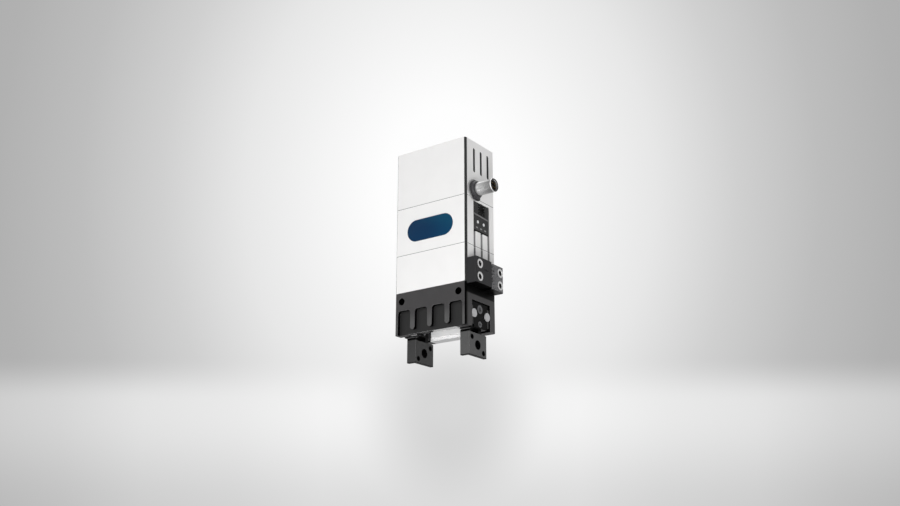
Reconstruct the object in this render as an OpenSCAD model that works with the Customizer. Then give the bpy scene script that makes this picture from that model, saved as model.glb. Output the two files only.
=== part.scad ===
// Electric two finger gripper: a motor, a planetary gearhead and a rack-and-pinion drive
// close two jaws that run in crossed-roller guides. Millimetres, +Z up, +X along the jaws' travel.
// Heights are counted from the underside of the base, and placed() moves the origin to the
// middle of the two mounting holes.

/* [Body] */
// Width of the body, along the jaws' travel
body_w = 50; // [50:1:56]
// Depth of the body, from its front face to its back
body_d = 30; // [30:1:36]
// Height of the base housing above its guide channel
deck_h = 9.5; // [9.5:0.1:12]
// Height of the gearhead housing
gear_housing_h = 22.5; // [22.5:0.5:28]
// Height of the motor housing
motor_housing_h = 29.1; // [29.1:0.5:36]
// Height of the electronics housing
top_housing_h = 35.7; // [34:0.5:45]
// Chamfer along the upright corners
corner_chamfer = 1; // [0.4:0.1:1.5]
// Thickness of the cover let into the top
cover_t = 2.6; // [2:0.1:4]

/* [Mounting holes] */
// Distance between the two mounting holes
mount_spacing = 40; // [39.6:0.1:41]
// Diameter of the mounting holes
mount_hole_d = 4.3; // [3.4:0.1:4.5]
// Distance of the mounting holes below the base housing's top
mount_hole_drop = 5.2; // [4.5:0.1:6]

/* [Base pockets] */
// Width of the ribs between the pockets
rib_w = 3.2; // [2:0.1:4]
// Width of the margin beside the outer pockets
pocket_margin = 2.4; // [1.9:0.1:3.4]
// Depth of the pockets
pocket_depth = 2.1; // [1:0.1:2.4]
// Height of the pockets' tops
pocket_top = 14; // [10:0.5:15]
// Radius of the pockets' upper corners
pocket_r = 1.8; // [0.5:0.1:3]
// Height at which the ribs end
rib_end_z = 2.2; // [1:0.1:4]

/* [Cooling grooves] */
// Distance between the cooling grooves
groove_pitch = 7.1; // [5:0.1:8]
// Width of a cooling groove
groove_w = 2.3; // [1:0.1:3]
// Depth of a cooling groove
groove_depth = 1.6; // [0.5:0.1:2]
// Place of the middle groove, behind the body's centre
groove_y = 1.4; // [-2:0.1:2]
// Length of the upper grooves
upper_groove_l = 15.3; // [8:0.1:18]

/* [Guide] */
// Width of the guide channel through the base
channel_w = 18; // [18:0.1:19]
// Height of the guide channel
channel_h = 15.2; // [15.2:0.1:16]
// Diameter of the rollers
roller_d = 2.5; // [2:0.1:3]
// Number of rollers in one cage
roller_count = 3; // [2:1:3]
// Distance between rollers
roller_pitch = 3.2; // [3:0.1:3.3]
// Height of the roller races above the underside
race_z = 8; // [7.5:0.1:8.5]
// Distance of each roller race from the centre
race_y = 6.5; // [6:0.1:6.8]
// Gap between a fixed rail and a carriage
rail_gap = 0.6; // [0.5:0.05:0.8]
// Height of a fixed rail
rail_h = 10.8; // [9:0.1:11.2]
// Depth to which a rail is let into the wall
rail_seat = 1; // [0.5:0.1:1.5]
// Gap between a race end cap and the channel's wall
end_cap_gap = 0.05; // [0.05:0.05:0.3]

/* [Jaws] */
// Travel of each jaw, from open to closed
jaw_travel = 8; // [4:0.5:8]
// Length of a carriage's upper plate
carriage_l = 16; // [15:0.5:16]
// Length of the part of a carriage that runs between the rails
guide_block_l = 9.7; // [9:0.1:12]
// Gap between the closed carriages, on each side of the centre
closed_gap = 0.3; // [0.2:0.1:0.5]
// Height of a jaw below the base
jaw_h = 15.4; // [12:0.1:25]
// Width of a jaw's plate, front to back
jaw_d = 17; // [15:0.1:17.4]
// Thickness of a jaw's plate and flange
jaw_t = 2; // [1.5:0.1:2.5]
// Width of a jaw's front flange
flange_w = 6; // [4:0.1:7]
// Diameter of the threaded boss behind a finger hole
boss_d = 8; // [7:0.1:9]
// Length of the threaded boss behind a finger hole
boss_l = 3; // [2:0.1:4]
// Distance from the right carriage's centre to its jaw's contact face
right_jaw_offset = 6.3; // [5.5:0.1:6.3]
// Distance from the left carriage's centre to its jaw's contact face
left_jaw_offset = 1.7; // [0.5:0.1:3]
// Diameter of a jaw's centre hole
finger_hole_d = 5; // [3:0.1:6]
// Diameter of a jaw's dowel holes
dowel_hole_d = 2.6; // [1.5:0.1:3]

/* [Rack and pinion] */
// Module of the racks and pinion
rack_module = 0.5; // [0.5]
// Number of teeth on the pinion
pinion_teeth = 16; // [16]
// Width of the racks and pinion
rack_face_w = 4.6; // [4:0.1:4.8]

/* [Gearhead] */
// Module of the planetary gears
gear_module = 0.45; // [0.4:0.05:0.45]
// Teeth on the sun gear
sun_teeth = 12; // [12]
// Teeth on each planet gear
planet_teeth = 18; // [18]
// Number of planet gears
planet_count = 3; // [3]
// Width of the planet gears
planet_w = 6; // [4:0.5:6]
// Pressure angle of all teeth
pressure_angle = 25; // [20:1:25]
// Play between meshing teeth
backlash = 0.08; // [0.05:0.01:0.12]
// Diameter of the planet pins
planet_pin_d = 3; // [2:0.1:3.4]
// Outer diameter of the ring gear
ring_gear_d = 25; // [24.6:0.1:25]

/* [Motor] */
// Outer diameter of the motor
motor_d = 24; // [23:0.1:24.2]
// Space between the motor's case and the electronics housing
motor_head_room = 6.6; // [6.6:0.1:8]
// Diameter of the motor's shaft
motor_shaft_d = 3; // [2:0.1:3.2]
// Length of the stator core
stator_l = 16; // [12:0.5:17]
// Number of stator teeth and coils
coil_count = 6; // [6:1:9]
// Diameter of the rotor's magnet
rotor_d = 9.6; // [8:0.1:10]

/* [Connector] */
// Diameter of the connector's threaded barrel
connector_d = 8; // [8]
// Length of the barrel beyond the collar
connector_l = 11.2; // [8:0.1:14]
// Diameter of the connector's collar
collar_d = 13; // [11:0.1:14]
// Height of the connector's axis above the electronics housing's underside
connector_rise = 4.7; // [4.7:0.1:8]
// Distance of the connector's axis from the body's front face
connector_inset = 8.7; // [8.5:0.1:10]

/* [Control panel] */
// Width of the control panel
panel_w = 15.2; // [14:0.1:16]
// Height of the control panel
panel_h = 18.1; // [17:0.1:19]
// Thickness of the control panel
panel_t = 2; // [1.5:0.1:2.5]
// Distance of the panel's top below the electronics housing
panel_drop = 1.7; // [1.7:0.1:4]
// Diameter of the rotary selector
selector_d = 4.8; // [4:0.1:5.5]

/* [Sensor bracket] */
// Thickness of the sensor bracket
bracket_t = 6.4; // [5:0.1:7]
// Height of the sensor bracket
bracket_h = 15; // [12:0.1:18]
// Depth of the bracket's front block
bracket_front_d = 16; // [15:0.1:17]
// Depth of the bracket's rear block
bracket_rear_d = 12; // [10:0.1:12.4]
// How much lower the rear block sits than the front block
bracket_step = 0.7; // [0:0.1:0.7]

/* [Hidden] */
$fn = 48;

eps = 0.01;
seat_clearance = 0.02;
run_clearance = 0.03;
tooth_steps = 2;

base_h = channel_h + deck_h;
mount_hole_z = base_h - mount_hole_drop;
gear_housing_z = base_h;
motor_housing_z = gear_housing_z + gear_housing_h;
top_housing_z = motor_housing_z + motor_housing_h;
body_top = top_housing_z + top_housing_h;

// Base pockets
pocket_count = 4;
pocket_w = (body_w - 2 * pocket_margin - (pocket_count - 1) * rib_w) / pocket_count;
pocket_pitch = pocket_w + rib_w;
first_rib_x = -body_w / 2 + pocket_margin + pocket_w + rib_w / 2;

// Cooling grooves
lower_groove_z0 = gear_housing_z + 2.3;
lower_groove_z1 = top_housing_z - 1.2;
upper_groove_z1 = body_top - 4.2;
upper_groove_z0 = upper_groove_z1 - upper_groove_l;

// Guide
passage = roller_d + 2 * run_clearance;
groove_reach = passage / sqrt(2);
carriage_half_w = race_y - rail_gap / 2;
rail_face_y = race_y + rail_gap / 2;
rail_t = channel_w / 2 + rail_seat - rail_face_y;
rail_bottom = 1.6;
rail_end_gap = 0.6;
rail_half_l = body_w / 2 - rail_end_gap;
rail_screw_x = 18;
rail_screw_z = 3.7;
rail_wall_end = body_d / 2 - pocket_depth - 0.6;
carriage_bottom = 0.2;
carriage_top = channel_h - 0.4;
carriage_flange_bottom = rail_bottom + rail_h + 0.3;
carriage_flange_half_w = channel_w / 2 - 0.3;
carriage_x = closed_gap + carriage_l / 2 + jaw_travel;
cage_l = (roller_count - 1) * roller_pitch + 2.4;
cage_t = 0.3;
cage_h = 5.4;
roller_l = roller_d - 0.2;
end_cap_d = channel_w - 2 * race_y - 2 * end_cap_gap;
end_cap_stub_l = 0.8;
carriage_end_x = carriage_x + carriage_l / 2;
cage_x = rail_half_l - end_cap_stub_l - 0.3 - cage_l / 2;

// Racks and pinion
pinion_r = rack_module * pinion_teeth / 2;
rack_pitch = PI * rack_module;
rack_y = pinion_r;
rack_back_y = carriage_flange_half_w - 0.3;
rack_inner_l = 3.2;
deck_half_l = mount_spacing / 2 - mount_hole_d / 2 - 1;
rack_end_x = deck_half_l - 0.4;
rack_z = carriage_top + 1.4;
rack_top = rack_z + rack_face_w;
rack_teeth_l = jaw_travel + rack_inner_l + 1;
deck_top = rack_top + 0.4;
pinion_bore = 4;
shaft_end_z = rack_z - 0.7;
clip_t = 0.4;
rack_root_y = rack_y + 1.25 * rack_module;
rack_screw_x = [carriage_end_x - carriage_l + 2.2, carriage_end_x - carriage_l + 6];
rack_screw_y = (rack_root_y + rack_back_y) / 2;
rack_screw_d = 1.6;
rack_screw_head_d = 3;
rack_screw_head_h = 1.6;

// Gearhead
bearing_small = [5, 9, 3];
bearing_large = [8, 14, 3.5];
bearing_motor = [3, 8, 3];
shaft_d = bearing_small[0];
ring_teeth = sun_teeth + 2 * planet_teeth;
planet_orbit = gear_module * (sun_teeth + planet_teeth) / 2;
ring_tip_r = gear_module * (ring_teeth / 2 - 1);
carrier_r = ring_tip_r - 0.25;
gear_floor_t = bearing_large[2] + 0.5;
gear_floor_top = gear_housing_z + gear_floor_t;
ring_gear_h = 11;
carrier_plate_t = 2.6;
carrier_z = gear_floor_top + 0.2;
planet_z = carrier_z + carrier_plate_t + 0.15;
carrier_ring_z = planet_z + planet_w + 0.15;
carrier_ring_t = gear_floor_top + ring_gear_h - 0.3 - carrier_ring_z;

// Motor
flange_z = gear_floor_top + ring_gear_h;
flange_t = 4;
motor_z = flange_z + flange_t;
motor_l = top_housing_z - motor_z - motor_head_room;
motor_case_t = 0.8;
stator_z = motor_z + 3;
bell_t = 4;
bell_z = motor_z + motor_l - 1;
motor_bore_r = motor_d / 2 + 0.05;
stator_r = motor_d / 2 - motor_case_t;
back_iron = 1.8;
air_gap = 0.35;
stator_tooth_w = 2.4;
shoe_t = 0.8;
coil_t = 1.1;
shoe_r = rotor_d / 2 + air_gap;
encoder_z = bell_z + bell_t + 0.4;
magnet_h = 1.5;
board_t = 1;
board_z = bell_z + bell_t + magnet_h + 0.9;
encoder_board_d = 2 * motor_bore_r - 2.7;

// Tie screws
tie_screw_d = 2.5;
tie_head_d = 4.5;
tie_head_h = 2.5;
tie_x = 15.5;
tie_y = body_d / 2 - 3.5;
tie_bite = 6;
top_floor_t = 3;

// Electronics housing
top_wall_x = 3.5;
top_wall_y = 2.8;
cavity_half_x = body_w / 2 - top_wall_x;
cavity_half_y = body_d / 2 - top_wall_y;
cavity_bottom = top_housing_z + top_floor_t;
cover_half_x = cavity_half_x + 1.4;
cover_half_y = cavity_half_y + 1.2;
cover_z = body_top - cover_t;
cover_boss_d = 5;
cover_screw_x = cavity_half_x - 2.2;
cover_screw_y = cavity_half_y - 2.2;
control_board_y = 7;
control_board_z = [cavity_bottom + 2, cover_z - 9];
control_board_half_w = cavity_half_x - 2.5;
standoff_d = 3;
standoff_x = control_board_half_w - 2;
standoff_z = [control_board_z[0] + 2, control_board_z[1] - 4];

// Panel
panel_y = 0.8;
panel_z = top_housing_z - panel_drop - panel_h;
panel_clearance = 0.05;
panel_pocket_margin = 1;
panel_pocket_depth = 4.5;
panel_board_x = body_w / 2 - panel_t - 2.6;
selector_y = 1.3;
selector_z = panel_z + 14.4;
status_light_d = 1.8;
status_lights = [[-2.5, panel_z + 6.2], [3.5, panel_z + 6]];

// Connector
connector_wall_r = 3.5;
connector_y = body_d / 2 - connector_inset;
connector_z = top_housing_z + connector_rise;
collar_l = 3.3;
shell_bore_r = 3.2;
pin_circle_r = 1.7;

// Bracket
bracket_z = base_h - 1.4;
bracket_front_y = -body_d / 2 + 1.1;
bracket_seam = 0.3;
bracket_rear_y = bracket_front_y + bracket_front_d + bracket_seam;
front_screw_y = bracket_front_y + 4.2;
rear_screw_y = bracket_rear_y + bracket_rear_d - 3.6;
bracket_screw_z = [bracket_z + 3.9, bracket_z + bracket_h - 3.6];
bracket_slit_z = (bracket_screw_z[0] + bracket_screw_z[1]) / 2 + 0.6;
bracket_thread_l = 5;
m3_head_d = 5.5;
m3_head_h = 3;
bracket_screw_d = 2.5;

// Jaw
jaw_gap = 2.4;
flange_gap = 1.1;
neck_y = [0.6, 3.6];
tongue_half_w = 4;
tongue_top = 13;
right_jaw_x = carriage_x + right_jaw_offset;
left_jaw_x = left_jaw_offset - carriage_x;
finger_hole_z = -8.9;
dowel_y = 5.6;
dowel_z = 3.9;
jaw_screw_z = [11.2, 2.6];
jaw_screw_head_d = [5, 3.4];
jaw_screw_d = [3, 2];
jaw_screw_head_h = 1.4;

// ---------- placing ----------

module placed() {
  translate([0, 0, -mount_hole_z]) children();
}

module mirrored_x(side) {
  if (side > 0) children();
  else mirror([1, 0, 0]) children();
}

// A cylinder along X, from x0 to x1
module rod_x(d, x0, x1, y, z) {
  translate([x0, y, z]) rotate([0, 90, 0]) cylinder(d = d, h = x1 - x0);
}

// A cylinder along Y, from y0 to y1
module rod_y(d, x, y0, y1, z) {
  translate([x, y1, z]) rotate([90, 0, 0]) cylinder(d = d, h = y1 - y0);
}

// A cylinder along Z, from z0 to z1
module rod_z(d, z0, z1, x = 0, y = 0) {
  translate([x, y, z0]) cylinder(d = d, h = z1 - z0);
}

module block(x0, x1, y0, y1, z0, z1) {
  translate([x0, y0, z0]) cube([x1 - x0, y1 - y0, z1 - z0]);
}

// The body's outline seen from above, with its chamfered corners
module body_outline() {
  x = body_w / 2;
  y = body_d / 2;
  c = corner_chamfer;
  polygon([[-x + c, -y], [x - c, -y], [x, -y + c], [x, y - c],
    [x - c, y], [-x + c, y], [-x, y - c], [-x, -y + c]]);
}

module body_slice(z, h) {
  translate([0, 0, z]) linear_extrude(h) body_outline();
}

// ---------- teeth ----------

function inv(a) = tan(a) - a * PI / 180;

// Half the angle that a tooth spans at radius r
function tooth_half_angle(r, base_r, teeth, pitch_r, play) =
  90 / teeth - play / 2 / pitch_r * 180 / PI + (inv(pressure_angle) - inv(acos(base_r / r))) * 180 / PI;

function polar(r, a) = [r * cos(a), r * sin(a)];

// Outline of a gear with involute flanks, one tooth centred on +X
function gear_points(teeth, m, play, add, ded) =
  let (pitch_r = m * teeth / 2, base_r = pitch_r * cos(pressure_angle))
  let (root_r = pitch_r - ded * m, tip_r = pitch_r + add * m, start_r = max(base_r + eps, root_r))
  [for (i = [0 : teeth - 1], s = [-1, 1], k = [-1 : tooth_steps])
    let (step = s < 0 ? k : tooth_steps - 1 - k)
    let (r = step < 0 ? root_r : start_r + (tip_r - start_r) * step / tooth_steps)
    let (a = tooth_half_angle(max(r, start_r), base_r, teeth, pitch_r, play))
    polar(r, i * 360 / teeth + s * a)];

module gear(teeth, m, h) {
  linear_extrude(h) polygon(gear_points(teeth, m, backlash, 1, 1.25));
}

module rack_teeth(length_left, length_right) {
  count_left = floor(length_left / rack_pitch);
  count_right = floor(length_right / rack_pitch);
  slope = tan(pressure_angle);
  half = rack_pitch / 4 - backlash / 2;
  for (i = [-count_left : count_right - 1])
    translate([(i + 0.5) * rack_pitch, 0])
      polygon([[-half - 1.25 * rack_module * slope - eps, 1.25 * rack_module + eps],
        [-half + rack_module * slope, -rack_module], [half - rack_module * slope, -rack_module],
        [half + 1.25 * rack_module * slope + eps, 1.25 * rack_module + eps]]);
}

// ---------- fasteners and bearings ----------

// A socket head screw with its head's underside at z = 0 and its shank downwards
module cap_screw(d, shank, head_d, head_h) {
  difference() {
    cylinder(d = head_d, h = head_h);
    translate([0, 0, head_h * 0.4]) cylinder(d = d * 0.95, h = head_h, $fn = 6);
  }
  translate([0, 0, -shank]) cylinder(d = d, h = shank + eps);
}

// A countersunk screw with the top of its head at z = 0
module flat_screw(d, shank, head_d) {
  cone_h = (head_d - d) / 2;
  difference() {
    union() {
      translate([0, 0, -cone_h]) cylinder(d1 = d, d2 = head_d, h = cone_h);
      translate([0, 0, -shank]) cylinder(d = d, h = shank - cone_h + eps);
    }
    translate([0, 0, -cone_h * 0.8]) cylinder(d = d * 0.6, h = cone_h, $fn = 6);
  }
}

// A ball bearing standing on z: size is [bore, outer diameter, width]
module ball_bearing(size, z) {
  pitch_r = (size[0] + size[1]) / 4;
  ball_r = (size[1] - size[0]) * 0.13;
  race_t = (size[1] - size[0]) / 2 * 0.3;
  translate([0, 0, z]) {
    rotate_extrude() difference() {
      union() {
        translate([size[0] / 2, 0]) square([race_t, size[2]]);
        translate([size[1] / 2 - seat_clearance - race_t, 0]) square([race_t, size[2]]);
      }
      translate([pitch_r, size[2] / 2]) circle(ball_r + eps);
    }
    for (i = [0 : 6]) rotate(i * 360 / 7) translate([pitch_r, 0, size[2] / 2]) sphere(ball_r, $fn = 24);
  }
}

// ---------- base and guide ----------

// The front face's pockets, with the ribs left standing between them
module front_pockets() {
  x0 = -body_w / 2 + pocket_margin;
  rotate([90, 0, 0]) linear_extrude(pocket_depth + eps) difference() {
    translate([x0, -eps]) square([-2 * x0, pocket_top + eps]);
    for (i = [0 : pocket_count - 2]) translate([first_rib_x + i * pocket_pitch, 0]) {
      translate([-rib_w / 2, rib_end_z + rib_w / 2]) square([rib_w, pocket_top]);
      translate([0, rib_end_z + rib_w / 2]) circle(rib_w / 2);
    }
    for (i = [0 : pocket_count - 1], s = [-1, 1])
      translate([first_rib_x + (i - 0.5) * pocket_pitch + s * pocket_w / 2, pocket_top]) pocket_corner(-s);
  }
}

// The metal left in a pocket's upper corner: s points to the pocket's middle
module pocket_corner(s) {
  difference() {
    translate([s > 0 ? -eps : -pocket_r, -pocket_r]) square([pocket_r + eps, pocket_r + eps]);
    translate([s * pocket_r, -pocket_r]) circle(pocket_r);
  }
}

// The square roller race, standing on its corner, as a bar along X
module race(x0, x1, side, width) {
  translate([x0, side * race_y, race_z]) rotate([45, 0, 0]) translate([0, -width / 2, -width / 2])
    cube([x1 - x0, width, width]);
}

module base_housing() {
  half_w = body_w / 2;
  color([0.17, 0.17, 0.18]) placed() difference() {
    body_slice(0, base_h);
    block(-half_w - 1, half_w + 1, -channel_w / 2, channel_w / 2, -1, channel_h);
    for (s = [-1, 1]) block(-rail_half_l, rail_half_l, min(s * (rail_face_y + rail_t), 0),
      max(s * (rail_face_y + rail_t), 0), rail_bottom, rail_bottom + rail_h);
    block(-deck_half_l, deck_half_l, -channel_w / 2, channel_w / 2, channel_h - 1, deck_top);
    rod_z(bearing_small[1], base_h - bearing_small[2], base_h + 1);
    rod_z(bearing_small[1] - 2, deck_top - 1, base_h);
    for (s = [-1, 1]) rod_y(mount_hole_d, s * mount_spacing / 2, -body_d, body_d, mount_hole_z);
    for (sx = [-1, 1], sy = [-1, 1])
      rod_z(tie_screw_d, base_h - tie_bite - 0.4, base_h + 1, sx * tie_x, sy * tie_y);
    for (sx = [-1, 1], sy = [-1, 1]) rod_y(2, sx * rail_screw_x, sy > 0 ? 0 : -rail_wall_end,
      sy > 0 ? rail_wall_end : 0, rail_screw_z);
    translate([0, -body_d / 2 + pocket_depth, 0]) front_pockets();
  }
}

// A fixed rail of the crossed-roller guide, on the side s
module guide_rail(s) {
  y0 = rail_face_y;
  y1 = rail_face_y + rail_t;
  difference() {
    block(-rail_half_l, rail_half_l, min(s * y0, s * y1), max(s * y0, s * y1),
      rail_bottom, rail_bottom + rail_h);
    race(-body_w, body_w, s, passage);
    for (sx = [-1, 1]) translate([sx * rail_screw_x, s * y0, rail_screw_z]) rotate([s * 90, 0, 0]) {
      translate([0, 0, -y1]) cylinder(d = 2.1, h = 2 * y1);
      translate([0, 0, -0.9]) cylinder(d1 = 2, d2 = 3.8, h = 0.9 + eps);
    }
  }
}

module front_guide_rail() {
  color([0.72, 0.73, 0.75]) placed() guide_rail(-1);
}

module rear_guide_rail() {
  color([0.72, 0.73, 0.75]) placed() guide_rail(1);
}

module rail_screws() {
  color([0.6, 0.6, 0.62]) placed() for (sx = [-1, 1], s = [-1, 1])
    translate([sx * rail_screw_x, s * (rail_face_y + 0.05), rail_screw_z]) rotate([s * 90, 0, 0])
      flat_screw(2, rail_wall_end - rail_face_y - 0.3, 3.6);
}

// Caps that close the ends of the roller races
module race_end_caps() {
  color([0.9, 0.9, 0.92]) placed() for (s = [-1, 1], e = [-1, 1]) mirrored_x(e) {
    rod_x(end_cap_d, rail_half_l, body_w / 2, s * race_y, race_z);
    rod_x(roller_d - 0.2, rail_half_l - end_cap_stub_l, rail_half_l + eps, s * race_y, race_z);
  }
}

// ---------- jaws ----------

// A carriage, drawn for the right side, with a slot for its jaw's tongue
module carriage(face_x) {
  x0 = carriage_end_x - carriage_l;
  x1 = carriage_end_x;
  difference() {
    union() {
      block(x1 - guide_block_l, x1, -carriage_half_w, carriage_half_w, carriage_bottom, carriage_top);
      block(x0, x1, -carriage_flange_half_w, carriage_flange_half_w, carriage_flange_bottom, carriage_top);
    }
    for (s = [-1, 1]) race(x0 - 1, x1 + 1, s, passage);
    block(face_x - jaw_t, face_x, -tongue_half_w, tongue_half_w, carriage_bottom - 1, tongue_top);
    for (i = [0, 1]) {
      rod_x(jaw_screw_d[i], face_x - eps, x1, 0, jaw_screw_z[i]);
      rod_x(jaw_screw_head_d[i] + 0.1, x1 - jaw_screw_head_h, x1 + 1, 0, jaw_screw_z[i]);
    }
  }
}

module carriage_with_threads(face_x, s) {
  difference() {
    carriage(face_x);
    for (x = rack_screw_x)
      rod_z(rack_screw_d, carriage_flange_bottom - 1, carriage_top + 1, x, s * rack_screw_y);
  }
}

module right_carriage() {
  color([0.36, 0.36, 0.38]) placed() carriage_with_threads(right_jaw_x, 1);
}

module left_carriage() {
  color([0.36, 0.36, 0.38]) placed() mirrored_x(-1) carriage_with_threads(-left_jaw_x + jaw_t, -1);
}

// A jaw: an L-section that hangs from a neck, with its contact face at x. Its dowel holes lie on one
// diagonal, and its tongue reaches up into the carriage.
module jaw(x, diagonal) {
  difference() {
    union() {
      block(x - jaw_t, x, -jaw_d / 2, jaw_d / 2, -jaw_h, -jaw_gap);
      block(x - flange_w, x, -jaw_d / 2, -jaw_d / 2 + jaw_t, -jaw_h, -flange_gap);
      block(x - flange_w, x, neck_y[0], neck_y[1], -jaw_gap - eps, carriage_bottom);
      block(x - flange_w, x, neck_y[0], neck_y[1], -jaw_gap - jaw_t, -jaw_gap);
      rod_x(boss_d, x - jaw_t - boss_l, x - jaw_t + eps, 0, finger_hole_z);
      block(x - jaw_t, x, -tongue_half_w, tongue_half_w, carriage_bottom - eps, tongue_top);
    }
    rod_x(finger_hole_d, x - jaw_t - boss_l - 1, x + 1, 0, finger_hole_z);
    for (s = [-1, 1])
      rod_x(dowel_hole_d, x - jaw_t - 1, x + 1, s * dowel_y, finger_hole_z - s * diagonal * dowel_z);
    for (i = [0, 1]) rod_x(jaw_screw_d[i], x - jaw_t - 1, x + 1, 0, jaw_screw_z[i]);
  }
}

module right_jaw() {
  color([0.2, 0.2, 0.21]) placed() jaw(right_jaw_x, 1);
}

module left_jaw() {
  color([0.2, 0.2, 0.21]) placed() jaw(left_jaw_x, -1);
}

// The screws that hold a jaw's tongue: tip_x is where their shanks end
module jaw_screws(tip_x) {
  x1 = carriage_end_x;
  for (i = [0, 1]) translate([x1 - jaw_screw_head_h, 0, jaw_screw_z[i]]) rotate([0, 90, 0])
    cap_screw(jaw_screw_d[i], x1 - jaw_screw_head_h - tip_x, jaw_screw_head_d[i], jaw_screw_head_h);
}

module right_jaw_screws() {
  color([0.45, 0.45, 0.46]) placed() jaw_screws(right_jaw_x - jaw_t);
}

module left_jaw_screws() {
  color([0.45, 0.45, 0.46]) placed() mirrored_x(-1) jaw_screws(-left_jaw_x);
}

// ---------- rollers ----------

module roller_cages() {
  for (s = [-1, 1]) difference() {
    block(cage_x - cage_l / 2, cage_x + cage_l / 2, s * race_y - cage_t / 2, s * race_y + cage_t / 2,
      race_z - cage_h / 2, race_z + cage_h / 2);
    for (i = [0 : roller_count - 1]) translate([roller_x(i), s * race_y, race_z])
      cube([roller_d + 0.16, 2, 2 * groove_reach + 0.3], center = true);
  }
}

function roller_x(i) = cage_x + (i - (roller_count - 1) / 2) * roller_pitch;

// Rollers stand crossed, each at a right angle to the next
module rollers() {
  for (s = [-1, 1], i = [0 : roller_count - 1]) translate([roller_x(i), s * race_y, race_z])
    rotate([i % 2 == 0 ? 45 : -45, 0, 0]) cylinder(d = roller_d, h = roller_l, center = true);
}

module right_roller_cages() {
  color([0.8, 0.66, 0.35]) placed() roller_cages();
}

module left_roller_cages() {
  color([0.8, 0.66, 0.35]) placed() mirrored_x(-1) roller_cages();
}

module right_rollers() {
  color([0.85, 0.85, 0.87]) placed() rollers();
}

module left_rollers() {
  color([0.85, 0.85, 0.87]) placed() mirrored_x(-1) rollers();
}

// ---------- racks and pinion ----------

// The right jaw's rack, behind the pinion, with a gap between teeth at x = 0
module rack() {
  foot_x = carriage_end_x - carriage_l + 0.3;
  difference() {
    union() {
      translate([0, 0, rack_z]) linear_extrude(rack_face_w) {
        translate([-rack_inner_l, rack_root_y])
          square([rack_end_x + rack_inner_l, rack_back_y - rack_root_y]);
        translate([0, rack_y]) rack_teeth(rack_inner_l, rack_teeth_l);
      }
      block(foot_x, rack_end_x, rack_root_y, rack_back_y, carriage_top, rack_z + eps);
    }
    for (x = rack_screw_x) {
      rod_z(rack_screw_d + 0.1, carriage_top - 1, rack_top + 1, x, rack_screw_y);
      rod_z(rack_screw_head_d + 0.1, rack_top - rack_screw_head_h, rack_top + 1, x, rack_screw_y);
    }
  }
}

module rack_screws() {
  for (x = rack_screw_x) translate([x, rack_screw_y, rack_top - rack_screw_head_h])
    cap_screw(rack_screw_d, rack_top - rack_screw_head_h - carriage_flange_bottom - 0.1, rack_screw_head_d,
      rack_screw_head_h - 0.1);
}

module right_rack() {
  color([0.62, 0.63, 0.66]) placed() rack();
}

module left_rack() {
  color([0.62, 0.63, 0.66]) placed() rotate(180) rack();
}

module right_rack_screws() {
  color([0.4, 0.4, 0.42]) placed() rack_screws();
}

module left_rack_screws() {
  color([0.4, 0.4, 0.42]) placed() rotate(180) rack_screws();
}

module drive_pinion() {
  color([0.66, 0.66, 0.7]) placed() translate([0, 0, rack_z]) difference() {
    gear(pinion_teeth, rack_module, rack_face_w);
    translate([0, 0, -1]) cylinder(d = pinion_bore, h = rack_face_w + 2);
  }
}

module pinion_clip() {
  color([0.3, 0.3, 0.32]) placed() translate([0, 0, rack_z - clip_t]) linear_extrude(clip_t) difference() {
    circle(d = pinion_bore + 2);
    circle(d = pinion_bore - 0.5);
    translate([0, -pinion_bore]) square([1.6, pinion_bore * 2], center = true);
  }
}

module pinion_bearing() {
  color([0.75, 0.76, 0.78]) placed() ball_bearing(bearing_small, base_h - bearing_small[2]);
}

// ---------- gearhead ----------

module carrier_bearing() {
  color([0.75, 0.76, 0.78]) placed() ball_bearing(bearing_large, gear_floor_top - bearing_large[2]);
}

module at_planets() {
  for (i = [0 : planet_count - 1])
    rotate(i * 360 / planet_count) translate([planet_orbit, 0, 0]) children();
}

// The lower carrier plate with its hub and the output shaft
module planet_carrier() {
  hub_d = bearing_large[0] - 2 * run_clearance;
  color([0.58, 0.59, 0.62]) placed() difference() {
    union() {
      rod_z(2 * carrier_r, carrier_z, carrier_z + carrier_plate_t);
      rod_z(hub_d + 1.2, gear_floor_top + eps, carrier_z + eps);
      rod_z(hub_d, gear_floor_top - bearing_large[2] - 0.2, gear_floor_top + 0.1);
      rod_z(shaft_d - 2 * run_clearance, rack_top, gear_floor_top - 1);
      rod_z(pinion_bore, shaft_end_z, rack_top + eps);
    }
    at_planets() rod_z(planet_pin_d, carrier_z + 0.4, carrier_z + carrier_plate_t + 1);
    translate([0, 0, rack_z - clip_t]) linear_extrude(clip_t) difference() {
      circle(d = pinion_bore + 1);
      circle(d = pinion_bore - 0.5);
    }
  }
}

module carrier_ring() {
  color([0.58, 0.59, 0.62]) placed() difference() {
    rod_z(2 * carrier_r, carrier_ring_z, carrier_ring_z + carrier_ring_t);
    rod_z(gear_module * (sun_teeth + 2) + 1.4, carrier_ring_z - 1, carrier_ring_z + carrier_ring_t + 1);
    at_planets() rod_z(planet_pin_d, carrier_ring_z - 1, carrier_ring_z + carrier_ring_t + 1);
  }
}

module planet_pins() {
  color([0.8, 0.8, 0.82]) placed() at_planets()
    rod_z(planet_pin_d, carrier_z + 0.4, carrier_ring_z + carrier_ring_t);
}

// A planet gear, with a gap between teeth towards the sun and towards the ring
module planet_gear(i) {
  rotate(i * 360 / planet_count) translate([planet_orbit, 0, planet_z]) difference() {
    rotate(180 / planet_teeth) gear(planet_teeth, gear_module, planet_w);
    translate([0, 0, -1]) cylinder(d = planet_pin_d + 2 * run_clearance, h = planet_w + 2);
  }
}

module planet_gear_a() {
  color([0.78, 0.7, 0.5]) placed() planet_gear(0);
}

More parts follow.
